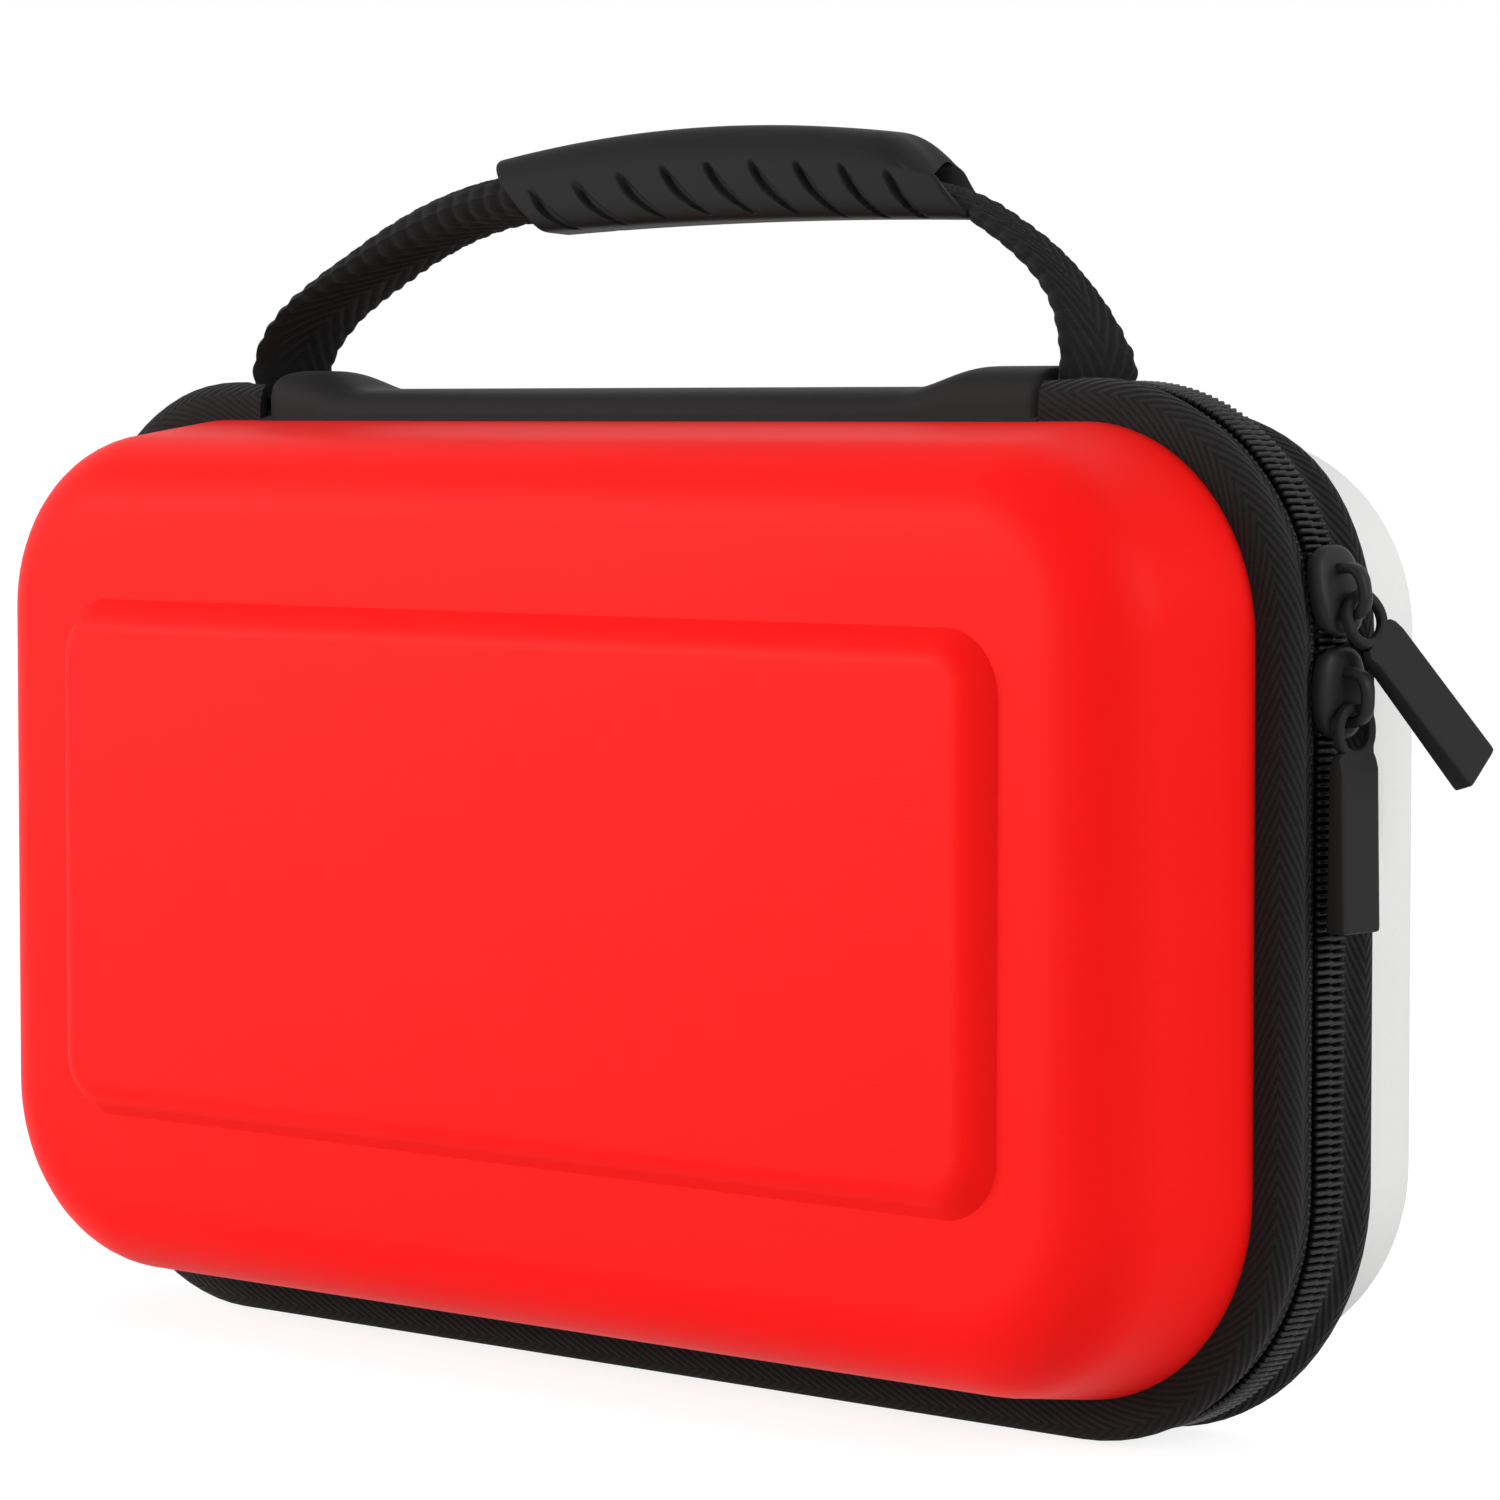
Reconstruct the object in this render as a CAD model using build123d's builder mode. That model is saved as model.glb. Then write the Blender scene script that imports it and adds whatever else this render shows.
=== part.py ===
from build123d import *
import math
import os

os.makedirs("parts", exist_ok=True)

# Whole case: millimetres, +Z up, front at -Y, the zip chain runs in the plane y = 0
case_width = 268.0
case_height = 160.0
corner_radius = 38.5
seam_reach = 10.8
rim_step = 6.5
fit_gap = 0.05
seat_gap = 0.3

# Moulded shells
shell_depth = 29.2
shell_wall = 4.0
wall_draft = 8.0
edge_radius = 14.0
floor_chamfer = 6.0
panel_width = 206.0
panel_height = 87.0
panel_corner = 10.0
panel_rise = 4.0
panel_draft = 40.0
panel_round = 5.0
flange_thickness = 2.4

# Zip tapes and chain
tape_thickness = 1.5
bulge_round = 2.6
bulge_easing = 0.9
fold_chamfer = 1.9
tape_lip = 0.9
chain_half_width = 3.2
chain_half_gap = 0.7
coil_drop = 0.4
coil_height = 2.2
coil_chamfer = 0.6
zip_end_x = 92.5
binding_thickness = 1.0
binding_width = 8.0

# Padded spine over the hinge
spine_half_length = 86.0
spine_half_width = 10.1
spine_gap = 0.2
spine_edge_rise = 1.0
spine_crown = 4.5
mound_edge_rise = 3.6
mound_crown = 7.6
mound_peak_x = 75.0
mound_start_x = 52.0
mound_end_drop = 0.6
spine_shoulder = 8.6
shoulder_share = 0.7
crown_ease = 0.2
spine_spans = 32

# Carrying handle
strap_width = 18.0
strap_thickness = 2.6
gathered_width = 10.0
gathered_thickness = 5.0
gather_start = 4.0
gather_full = 24.0
strap_foot_rise = 3.6
strap_foot_end_x = 70.0
strap_slot_gap = 0.15
handle_lean = 5.0
handle_sway = 9.0
lean_start = 1.0
lean_full = 12.0
strap_half_path = (
    (spine_half_length - 7.0, 0.0),
    (spine_half_length - 4.0, 0.0),
    (spine_half_length - 0.6, 0.0),
    (spine_half_length + 1.7, 0.8),
    (spine_half_length + 2.6, 2.9),
    (spine_half_length + 2.2, 5.6),
    (spine_half_length + 0.1, 8.8),
    (spine_half_length - 4.6, 13.4),
    (spine_half_length - 11.6, 19.4),
    (spine_half_length - 20.0, 25.0),
    (spine_half_length - 29.0, 29.4),
    (spine_half_length - 40.0, 32.6),
    (24.0, 35.2),
)
strap_crest = 36.0
fold_share = 0.07
fold_sections = 12
arch_sections = 36
grip_shift = 11.5
grip_half_length = 46.0
grip_left_slant = 15.0
grip_right_slant = 20.0
grip_half_depth = 7.6
grip_left_top = 38.9
grip_crest_shift = -2.0
grip_crest = 42.5
grip_right_top = 40.0
grip_end_bottom = 25.2
grip_bottom = 26.1
grip_top_round = 4.2
grip_bottom_round = 1.4
grip_bore_gap = 0.3
groove_count = 9
groove_pitch = 9.6
groove_head = 1.3
groove_half_run = 5.4
groove_half_rise = 3.8
groove_shift = -3.5
groove_mid_height = 32.0
groove_arch_drop = 3.2
groove_depth = 1.2

# Zip sliders, drawn flat: X across the chain, Y along it, Z outwards
slider_half_length = 6.8
slider_nose_half_width = 4.7
slider_belly_half_width = 5.4
slider_tail_half_width = 4.2
slider_corner = 1.4
plate_lift = 0.25
plate_thickness = 1.5
inner_plate_drop = 5.0
inner_plate_thickness = 1.1
post_half_width = 0.45
post_length = 4.0
post_centre = 3.6
bridge_tail = -5.2
bridge_nose = 4.0
bridge_bar = 1.7
bridge_height = 4.7
bridge_half_width = 1.15
bridge_round = 2.6
lower_slider_drop = 7.6
upper_slider_angle = 10.8

# Zip pulls, drawn flat: bar along X at the origin, blade towards -Y
pull_bar_radius = 0.8
ring_half_width = 4.7
ring_hole_half_width = 3.0
ring_hole_length = 6.0
blade_start = 7.4
blade_length = 33.0
blade_half_width = 4.5
blade_neck_half = 0.8
blade_root_half = 1.2
blade_end_half = 1.7
blade_bevel = 1.6
blade_corner = 1.4
pull_bar_along = -2.0
pull_bar_out = 3.2
upper_bar_across = -0.45
upper_pull_turn = 36.5
upper_pull_lift = 6.0

# Console bed, strap and divider in the back shell
bed_front = 14.0
bed_channel_depth = 10.0
console_height = 104.0
bed_sheet = 3.0
bed_hollow_width = 222.0
bed_hollow_height = 98.0
bed_hollow_corner = 14.0
ledge_hollow_length = 205.0
ledge_hollow_height = 7.0
thumb_notch_radius = 12.0
console_strap_width = 22.0
console_strap_length = 130.0
console_strap_thickness = 1.2
flap_width = 220.0
flap_height = 112.0
flap_thickness = 3.5
flap_corner = 10.0
flap_edge_round = 1.0
flap_tongue_width = 190.0
flap_tongue_thickness = 1.0
pocket_columns = 5
pocket_pitch = 38.0
pocket_width = 33.0
pocket_height = 30.0
pocket_depth = 3.0
pocket_slot_width = 28.0
pocket_slot_depth = 1.6
pocket_slot_height = 25.0
pocket_band_thickness = 0.6
pocket_row_offset = 26.0

# Zipped net pocket in the lid
net_thickness = 0.6
net_reach = 16.1
net_binding_width = 5.0
net_binding_thickness = 0.8
pocket_scale = 0.5
pocket_zip_length = 184.0
pocket_zip_width = 12.0
pocket_zip_height = 118.0
pocket_slit_half = 0.45
pocket_coil_half_width = 1.7
pocket_coil_height = 0.8
pocket_slider_start_x = 80.0

# Values worked out from the sizes above
mid_height = case_height / 2
half_width = case_width / 2
draft_slope = math.tan(math.radians(wall_draft))
hinge_height = case_height - rim_step
cavity_inset = rim_step + shell_wall
flange_front = seam_reach - tape_thickness - fit_gap
flange_back = flange_front - flange_thickness
flange_inset = tape_thickness + fit_gap
cavity_floor = seam_reach + shell_depth - shell_wall
arc_x = half_width - corner_radius
arc_z = case_height - corner_radius


def facing_front(reach):
    """Plane across the case at this distance in front of the chain, looking forwards."""
    return Plane(origin=(0, -reach, mid_height), x_dir=(1, 0, 0), z_dir=(0, -1, 0))


def facing_rear(reach):
    """Plane across the case at this distance behind the chain, looking backwards."""
    return Plane(origin=(0, reach, mid_height), x_dir=(-1, 0, 0), z_dir=(0, 1, 0))


def eased(share):
    """Smooth step from 0 to 1 as the share runs from 0 to 1."""
    held = min(max(share, 0), 1)
    return held * held * (3 - 2 * held)


def band_size(inset):
    """Width, height and corner radius of the case outline stepped in by the inset."""
    return case_width - 2 * inset, case_height - 2 * inset, corner_radius - inset


# One moulded cup with its rim flange, shared by both shells
with BuildPart() as shell_cup:
    with BuildSketch(facing_front(seam_reach)):
        RectangleRounded(*band_size(rim_step))
    extrude(amount=shell_depth, taper=wall_draft)
    fillet(shell_cup.faces().sort_by(Axis.Y)[0].edges(), edge_radius)
    with BuildSketch(facing_front(flange_back)):
        RectangleRounded(*band_size(rim_step))
    extrude(amount=seam_reach - flange_back)
    with BuildSketch(facing_front(flange_back)):
        RectangleRounded(*band_size(flange_inset))
    extrude(amount=flange_thickness)
    flange_rim = shell_cup.faces().filter_by(Plane.XZ).sort_by(Axis.Y)[-2].outer_wire().edges()
    chamfer(flange_rim, fold_chamfer)
    with BuildSketch(facing_front(flange_back)):
        RectangleRounded(*band_size(cavity_inset))
    extrude(amount=seam_reach - flange_back, mode=Mode.SUBTRACT)
    with BuildSketch(facing_front(seam_reach)):
        RectangleRounded(*band_size(cavity_inset))
    extrude(amount=shell_depth - shell_wall, taper=wall_draft, mode=Mode.SUBTRACT)
    flat_faces = shell_cup.faces().filter_by(Plane.XZ)
    cup_floor = flat_faces.sort_by(lambda face: abs(face.center().Y + cavity_floor))[0]
    chamfer(cup_floor.edges(), floor_chamfer)
    with Locations((0, -flange_back, hinge_height + rim_step / 2)):
        Box(2 * zip_end_x, 2 * seam_reach, rim_step, mode=Mode.SUBTRACT)

# Front shell: the cup with a raised panel pressed into its face
with BuildPart() as front_shell:
    add(shell_cup.part)
    with BuildSketch(facing_front(seam_reach + shell_depth)):
        RectangleRounded(panel_width, panel_height, panel_corner)
    extrude(amount=panel_rise, taper=panel_draft)
    fillet(front_shell.faces().sort_by(Axis.Y)[0].edges(), panel_round)
    with BuildSketch(facing_front(cavity_floor)):
        RectangleRounded(panel_width - 2 * shell_wall, panel_height - 2 * shell_wall, panel_corner)
    extrude(amount=panel_rise, taper=panel_draft, mode=Mode.SUBTRACT)
front_shell.part.label = "front_shell"
export_step(front_shell.part, "parts/front_shell.step")

# Back shell: the same cup turned about, with a plain face
with BuildPart() as back_shell:
    mirror(shell_cup.part, about=Plane.XZ)
back_shell.part.label = "back_shell"
export_step(back_shell.part, "parts/back_shell.step")

# Front zip tape: a folded fabric bumper over the shell's flange, open along the spine
with BuildPart() as front_zip_tape:
    with BuildSketch(facing_front(chain_half_width)):
        RectangleRounded(*band_size(0))
    extrude(amount=seam_reach - chain_half_width)
    chamfer(front_zip_tape.faces().sort_by(Axis.Y)[-1].edges(), tape_lip)
    chamfer(front_zip_tape.faces().sort_by(Axis.Y)[0].edges(), bulge_round)
    chamfer(front_zip_tape.faces().sort_by(Axis.Y)[0].edges(), bulge_easing)
    with BuildSketch(facing_front(chain_half_width)):
        RectangleRounded(*band_size(tape_thickness))
    extrude(amount=seam_reach - tape_thickness - chain_half_width, mode=Mode.SUBTRACT)
    fold_floor = front_zip_tape.faces().filter_by(Plane.XZ).sort_by(Axis.Y)[-2]
    chamfer(fold_floor.edges(), fold_chamfer)
    with BuildSketch(facing_front(seam_reach)):
        RectangleRounded(*band_size(rim_step - fit_gap))
    extrude(amount=-2 * tape_thickness, mode=Mode.SUBTRACT)
    with Locations((0, -seam_reach / 2, case_height)):
        Box(2 * zip_end_x, 2 * seam_reach, 2 * cavity_inset, mode=Mode.SUBTRACT)
front_zip_tape.part.label = "front_zip_tape"
export_step(front_zip_tape.part, "parts/front_zip_tape.step")

# Rear zip tape: the same bumper on the back shell
with BuildPart() as rear_zip_tape:
    mirror(front_zip_tape.part, about=Plane.XZ)
rear_zip_tape.part.label = "rear_zip_tape"
export_step(rear_zip_tape.part, "parts/rear_zip_tape.step")

# Front half of the zip chain, sewn along the edge of its tape
with BuildPart() as front_zip_coil:
    with BuildSketch(facing_front(chain_half_gap)):
        RectangleRounded(*band_size(coil_drop))
    extrude(amount=chain_half_width - chain_half_gap)
    chamfer(front_zip_coil.faces().sort_by(Axis.Y)[-1].edges(), coil_chamfer)
    with BuildSketch(facing_front(chain_half_gap)):
        RectangleRounded(*band_size(coil_drop + coil_height))
    extrude(amount=chain_half_width - chain_half_gap, mode=Mode.SUBTRACT)
    with Locations((0, -seam_reach / 2, case_height)):
        Box(2 * zip_end_x, 2 * seam_reach, 2 * cavity_inset, mode=Mode.SUBTRACT)
front_zip_coil.part.label = "front_zip_coil"
export_step(front_zip_coil.part, "parts/front_zip_coil.step")

# Rear half of the zip chain
with BuildPart() as rear_zip_coil:
    mirror(front_zip_coil.part, about=Plane.XZ)
rear_zip_coil.part.label = "rear_zip_coil"
export_step(rear_zip_coil.part, "parts/rear_zip_coil.step")

# Binding tape that covers the sewn edge inside the front rim
with BuildPart() as front_rim_binding:
    with BuildSketch(facing_front(flange_back - binding_thickness)):
        RectangleRounded(*band_size(cavity_inset - binding_width))
        RectangleRounded(*band_size(cavity_inset), mode=Mode.SUBTRACT)
    extrude(amount=binding_thickness)
    with Locations((0, -flange_back, hinge_height + rim_step / 2)):
        Box(2 * zip_end_x, 2 * seam_reach, rim_step, mode=Mode.SUBTRACT)
front_rim_binding.part.label = "front_rim_binding"
export_step(front_rim_binding.part, "parts/front_rim_binding.step")

# Binding tape inside the rear rim
with BuildPart() as rear_rim_binding:
    mirror(front_rim_binding.part, about=Plane.XZ)
rear_rim_binding.part.label = "rear_rim_binding"
export_step(rear_rim_binding.part, "parts/rear_rim_binding.step")

# Padded spine: a soft strip along the top, swollen at both ends over the handle's feet
spine_base = hinge_height + spine_gap
strap_foot = spine_base + strap_foot_rise
with BuildPart() as spine_pad:
    for span in range(spine_spans + 1):
        station = spine_half_length * (2 * span / spine_spans - 1)
        swell = eased((abs(station) - mound_start_x) / (mound_peak_x - mound_start_x))
        fall = eased((abs(station) - mound_peak_x) / (spine_half_length - mound_peak_x))
        edge_rise = spine_edge_rise + (mound_edge_rise - spine_edge_rise) * swell
        crown = spine_crown + (mound_crown - spine_crown) * swell - mound_end_drop * fall
        with BuildSketch(Plane.YZ.offset(station)):
            with BuildLine():
                Polyline(
                    (-spine_half_width, spine_base),
                    (-spine_half_width, spine_base + edge_rise),
                    (-spine_shoulder, spine_base + edge_rise + (crown - edge_rise) * shoulder_share),
                    (-spine_shoulder / 2, spine_base + crown - crown_ease),
                    (spine_shoulder / 2, spine_base + crown - crown_ease),
                    (spine_shoulder, spine_base + edge_rise + (crown - edge_rise) * shoulder_share),
                    (spine_half_width, spine_base + edge_rise),
                    (spine_half_width, spine_base),
                    close=True,
                )
            make_face()
    loft(ruled=True)
    with Locations((-spine_half_length, 0, strap_foot), (spine_half_length, 0, strap_foot)):
        Box(
            2 * (spine_half_length - strap_foot_end_x + strap_slot_gap),
            strap_width + 2 * strap_slot_gap,
            strap_thickness + 2 * strap_slot_gap,
            mode=Mode.SUBTRACT,
        )
spine_pad.part.label = "spine_pad"
export_step(spine_pad.part, "parts/spine_pad.step")

# Handle strap: one webbing, folded in under the spine's ends and gathered together towards the grip
even_path = (
    [(-x, rise) for x, rise in strap_half_path]
    + [(0, strap_crest)]
    + [(x, rise) for x, rise in reversed(strap_half_path)]
)
strap_path = [(x + handle_sway * eased(rise / strap_crest), rise) for x, rise in even_path]
with BuildLine():
    strap_curve = Spline(*strap_path)
strap_shares = (
    [fold_share * step / fold_sections for step in range(fold_sections)]
    + [fold_share + (1 - 2 * fold_share) * step / arch_sections for step in range(arch_sections)]
    + [1 - fold_share * step / fold_sections for step in range(fold_sections, -1, -1)]
)


def leaning(rise):
    """Lean of the handle in radians at this height above its feet."""
    return math.radians(handle_lean) * eased((rise - lean_start) / (lean_full - lean_start))


def handle_point(x, rise):
    """Point of the leaning handle above its foot line."""
    full = math.radians(handle_lean)
    back = max(rise - lean_start, 0) * math.sin(full)
    return Vector(x, back, strap_foot + rise - max(rise - lean_start, 0) * (1 - math.cos(full)))


with BuildPart() as handle_strap:
    strap_spots = [(strap_curve @ share, strap_curve % share) for share in strap_shares]
    strap_spots.insert(0, (Vector(-strap_foot_end_x, 0), strap_spots[0][1]))
    strap_spots.append((Vector(strap_foot_end_x, 0), strap_spots[-1][1]))
    for spot, way in strap_spots:
        lean = leaning(spot.Y)
        across = Vector(0, math.cos(lean), -math.sin(lean))
        along = Vector(way.X, way.Y * math.sin(lean), way.Y * math.cos(lean))
        gathered = eased((spot.Y - gather_start) / (gather_full - gather_start))
        width = strap_width + (gathered_width - strap_width) * gathered
        thickness = strap_thickness + (gathered_thickness - strap_thickness) * gathered
        with BuildSketch(Plane(origin=handle_point(spot.X, spot.Y), x_dir=across, z_dir=along)):
            Rectangle(width, thickness)
    loft(ruled=True)
handle_strap.part.label = "handle_strap"
export_step(handle_strap.part, "parts/handle_strap.step")

# Handle grip: a moulded sleeve round the strap, cut on the slant, with slanted grooves on both flanks
lean_full_angle = math.radians(handle_lean)
handle_up = Vector(0, math.sin(lean_full_angle), math.cos(lean_full_angle))
handle_plane = Plane(
    origin=handle_point(0, lean_start) - lean_start * handle_up,
    x_dir=(1, 0, 0),
    z_dir=(0, -math.cos(lean_full_angle), math.sin(lean_full_angle)),
)
grip_middle = handle_sway + grip_shift
grip_left = grip_middle - grip_half_length
grip_right = grip_middle + grip_half_length
with BuildPart() as handle_grip:
    with BuildSketch(handle_plane):
        with BuildLine():
            crest = ThreePointArc(
                (grip_left - grip_left_slant, grip_left_top),
                (handle_sway + grip_crest_shift, grip_crest),
                (grip_right - grip_right_slant, grip_right_top),
            )
            sole = ThreePointArc(
                (grip_right, grip_end_bottom),
                (grip_middle, grip_bottom),
                (grip_left, grip_end_bottom),
            )
            Line(crest @ 1, sole @ 0)
            Line(sole @ 1, crest @ 0)
        make_face()
    extrude(amount=grip_half_depth, both=True)
    chamfer(handle_grip.edges().filter_by(GeomType.CIRCLE).sort_by(Axis.Z)[-2:], grip_top_round)
    chamfer(handle_grip.edges().filter_by(GeomType.CIRCLE).sort_by(Axis.Z)[:2], grip_bottom_round)
    with BuildSketch(handle_plane):
        trace(strap_curve, line_width=gathered_thickness + 2 * grip_bore_gap)
    extrude(amount=gathered_width / 2 + grip_bore_gap, both=True, mode=Mode.SUBTRACT)
    for flank in (handle_plane.offset(grip_half_depth), handle_plane.offset(-grip_half_depth)):
        for place in range(groove_count):
            from_middle = place - (groove_count - 1) / 2
            groove_x = grip_middle + groove_shift + groove_pitch * from_middle
            groove_drop = groove_arch_drop * (2 * from_middle / (groove_count - 1)) ** 2
            with BuildSketch(flank):
                with Locations((groove_x, groove_mid_height - groove_drop)):
                    Polygon(
                        (-groove_half_run, groove_half_rise),
                        (groove_half_run - groove_head, -groove_half_rise),
                        (groove_half_run + groove_head, -groove_half_rise),
                        align=None,
                    )
            extrude(amount=groove_depth, both=True, mode=Mode.SUBTRACT)
handle_grip.part.label = "handle_grip"
export_step(handle_grip.part, "parts/handle_grip.step")

# One zip slider drawn flat: outer and inner plate, a web between the half chains and a bridge
with BuildPart() as zip_slider:
    with BuildSketch(Plane.XY.offset(plate_lift)) as slider_outline:
        Polygon(
            (-slider_tail_half_width, -slider_half_length),
            (slider_tail_half_width, -slider_half_length),
            (slider_belly_half_width, 0),
            (slider_nose_half_width, slider_half_length),
            (-slider_nose_half_width, slider_half_length),
            (-slider_belly_half_width, 0),
            align=None,
        )
        fillet(slider_outline.vertices(), slider_corner)
    extrude(amount=plate_thickness)
    chamfer(zip_slider.faces().sort_by(Axis.Z)[-1].edges(), plate_thickness / 3)
    add(slider_outline.sketch.moved(Location((0, 0, -inner_plate_drop - plate_lift))))
    extrude(amount=inner_plate_thickness)
    with Locations((0, post_centre, (plate_lift - inner_plate_drop) / 2)):
        Box(2 * post_half_width, post_length, inner_plate_drop + plate_lift)
    bridge_foot = plate_lift + plate_thickness
    bridge_length = bridge_nose - bridge_tail
    with BuildSketch(Plane.YZ) as bridge:
        with Locations(((bridge_nose + bridge_tail) / 2, bridge_foot + bridge_height / 2)):
            Rectangle(bridge_length, bridge_height)
        fillet(bridge.vertices().group_by(Axis.Y)[-1], bridge_round)
        with Locations(((bridge_nose + bridge_tail) / 2, bridge_foot + (bridge_height - bridge_bar) / 2)):
            Rectangle(bridge_length - 2 * bridge_bar, bridge_height - bridge_bar, mode=Mode.SUBTRACT)
    extrude(amount=bridge_half_width, both=True)

# One zip pull drawn flat: a ring with a wedge blade that thickens towards its end
with BuildPart() as zip_pull:
    with BuildSketch():
        with Locations((0, -blade_start / 2)):
            Rectangle(2 * ring_half_width, blade_start)
        with Locations((0, (-pull_bar_radius - ring_hole_length) / 2)):
            Rectangle(2 * ring_hole_half_width, pull_bar_radius + ring_hole_length, mode=Mode.SUBTRACT)
    extrude(amount=pull_bar_radius, both=True)
    Cylinder(pull_bar_radius, 2 * ring_half_width, rotation=(0, 90, 0))
    with BuildSketch(Plane.YZ):
        Polygon(
            (-blade_start, blade_neck_half),
            (-blade_start - blade_bevel, blade_root_half),
            (-blade_length, blade_end_half),
            (-blade_length, -blade_end_half),
            (-blade_start - blade_bevel, -blade_root_half),
            (-blade_start, -blade_neck_half),
            align=None,
        )
    extrude(amount=blade_half_width, both=True)
    fillet(zip_pull.faces().sort_by(Axis.Y)[0].edges().filter_by(Axis.Z), blade_corner)

# Seats of the sliders on the band: one on the straight side, one where the corner begins
lower_seat = Plane(origin=(half_width, 0, arc_z - lower_slider_drop), x_dir=(0, 1, 0), z_dir=(1, 0, 0))
upper_turn = math.radians(upper_slider_angle)
upper_seat = Plane(
    origin=(arc_x + corner_radius * math.cos(upper_turn), 0, arc_z + corner_radius * math.sin(upper_turn)),
    x_dir=(0, 1, 0),
    z_dir=(math.cos(upper_turn), 0, math.sin(upper_turn)),
)
lower_bar = lower_seat.location * Location((0, pull_bar_along, pull_bar_out))
upper_bar = (
    upper_seat.location
    * Location((upper_bar_across, pull_bar_along, pull_bar_out))
    * Location((0, 0, 0), (0, 0, upper_pull_turn))
    * Location((0, 0, 0), (-upper_pull_lift, 0, 0))
)

with BuildPart() as upper_zip_slider:
    with Locations(upper_seat.location):
        add(zip_slider.part)
upper_zip_slider.part.label = "upper_zip_slider"
export_step(upper_zip_slider.part, "parts/upper_zip_slider.step")

with BuildPart() as lower_zip_slider:
    with Locations(lower_seat.location):
        add(zip_slider.part)
lower_zip_slider.part.label = "lower_zip_slider"
export_step(lower_zip_slider.part, "parts/lower_zip_slider.step")

with BuildPart() as upper_zip_pull:
    with Locations(upper_bar):
        add(zip_pull.part)
upper_zip_pull.part.label = "upper_zip_pull"
export_step(upper_zip_pull.part, "parts/upper_zip_pull.step")

with BuildPart() as lower_zip_pull:
    with Locations(lower_bar):
        add(zip_pull.part)
lower_zip_pull.part.label = "lower_zip_pull"
export_step(lower_zip_pull.part, "parts/lower_zip_pull.step")

# Console bed: a moulded insert in the back shell with a channel for the console
bed_inset = cavity_inset + (bed_front - seam_reach) * draft_slope + seat_gap
bed_depth = cavity_floor - bed_front
channel_floor = bed_front + bed_channel_depth
ledge_mid = (console_height + case_height - 2 * bed_inset) / 4
with BuildPart() as console_bed:
    with BuildSketch(facing_rear(bed_front)):
        RectangleRounded(*band_size(bed_inset))
    extrude(amount=bed_depth, taper=wall_draft)
    chamfer(console_bed.faces().sort_by(Axis.Y)[-1].edges(), floor_chamfer)
    with BuildSketch(facing_rear(bed_front)):
        Rectangle(case_width, console_height)
        with Locations((0, console_height / 2), (0, -console_height / 2)):
            Circle(thumb_notch_radius)
    extrude(amount=bed_channel_depth, mode=Mode.SUBTRACT)
    with BuildSketch(facing_rear(channel_floor + bed_sheet)):
        RectangleRounded(bed_hollow_width, bed_hollow_height, bed_hollow_corner)
    extrude(amount=bed_depth, mode=Mode.SUBTRACT)
    with BuildSketch(facing_rear(channel_floor)):
        with Locations((0, ledge_mid), (0, -ledge_mid)):
            Rectangle(ledge_hollow_length, ledge_hollow_height)
    extrude(amount=bed_depth, mode=Mode.SUBTRACT)
console_bed.part.label = "console_bed"
export_step(console_bed.part, "parts/console_bed.step")

# Elastic strap across the console, sewn to both ledges
strap_front = bed_front - console_strap_thickness
with BuildPart() as console_strap:
    with BuildSketch(facing_rear(strap_front)):
        Rectangle(console_strap_width, console_strap_length)
    extrude(amount=console_strap_thickness)
console_strap.part.label = "console_strap"
export_step(console_strap.part, "parts/console_strap.step")

# Padded divider flap, sewn by its thin tongue to the top of the back shell
flap_front = strap_front - flap_thickness
tongue_top = mid_height - cavity_inset - seat_gap
with BuildPart() as divider_flap:
    with BuildSketch(facing_rear(flap_front)):
        RectangleRounded(flap_width, flap_height, flap_corner)
    extrude(amount=flap_thickness)
    chamfer(divider_flap.faces().filter_by(Plane.XZ).edges(), flap_edge_round)
    with BuildSketch(facing_rear(strap_front - flap_thickness / 2)):
        with Locations((0, (tongue_top + flap_height / 2) / 2 - flap_edge_round)):
            Rectangle(flap_tongue_width, tongue_top - flap_height / 2 + 2 * flap_edge_round)
    extrude(amount=flap_tongue_thickness)
divider_flap.part.label = "divider_flap"
export_step(divider_flap.part, "parts/divider_flap.step")

# Two rows of card pockets sewn to the face of the divider
for row_label, row_side in (("upper_card_pockets", 1), ("lower_card_pockets", -1)):
    row_z = mid_height + row_side * pocket_row_offset
    row_columns = [pocket_pitch * (column - (pocket_columns - 1) / 2) for column in range(pocket_columns)]
    with BuildPart() as card_pockets:
        with Locations((0, flap_front - pocket_band_thickness / 2, row_z)):
            Box(pocket_pitch * pocket_columns, pocket_band_thickness, pocket_height)
        with Locations(*[(x, flap_front - pocket_depth / 2, row_z) for x in row_columns]):
            Box(pocket_width, pocket_depth, pocket_height)
        chamfer(card_pockets.edges().filter_by(Axis.Z).group_by(Axis.Y)[0], flap_edge_round)
        slot_y = flap_front - pocket_band_thickness - pocket_slot_depth / 2
        slot_z = row_z + (pocket_height - pocket_slot_height) / 2
        with Locations(*[(x, slot_y, slot_z) for x in row_columns]):
            Box(pocket_slot_width, pocket_slot_depth, pocket_slot_height, mode=Mode.SUBTRACT)
    card_pockets.part.label = row_label
    export_step(card_pockets.part, f"parts/{row_label}.step")

# Net pocket panel across the lid, with a slot for its zip
net_inset = cavity_inset + (net_reach - seam_reach) * draft_slope + seat_gap
zip_rise = pocket_zip_height - mid_height
with BuildPart() as net_pocket:
    with BuildSketch(facing_front(net_reach - net_thickness)):
        RectangleRounded(*band_size(net_inset))
        with Locations((0, zip_rise)):
            Rectangle(pocket_zip_length, pocket_zip_width, mode=Mode.SUBTRACT)
    extrude(amount=net_thickness)
net_pocket.part.label = "net_pocket"
export_step(net_pocket.part, "parts/net_pocket.step")

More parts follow.
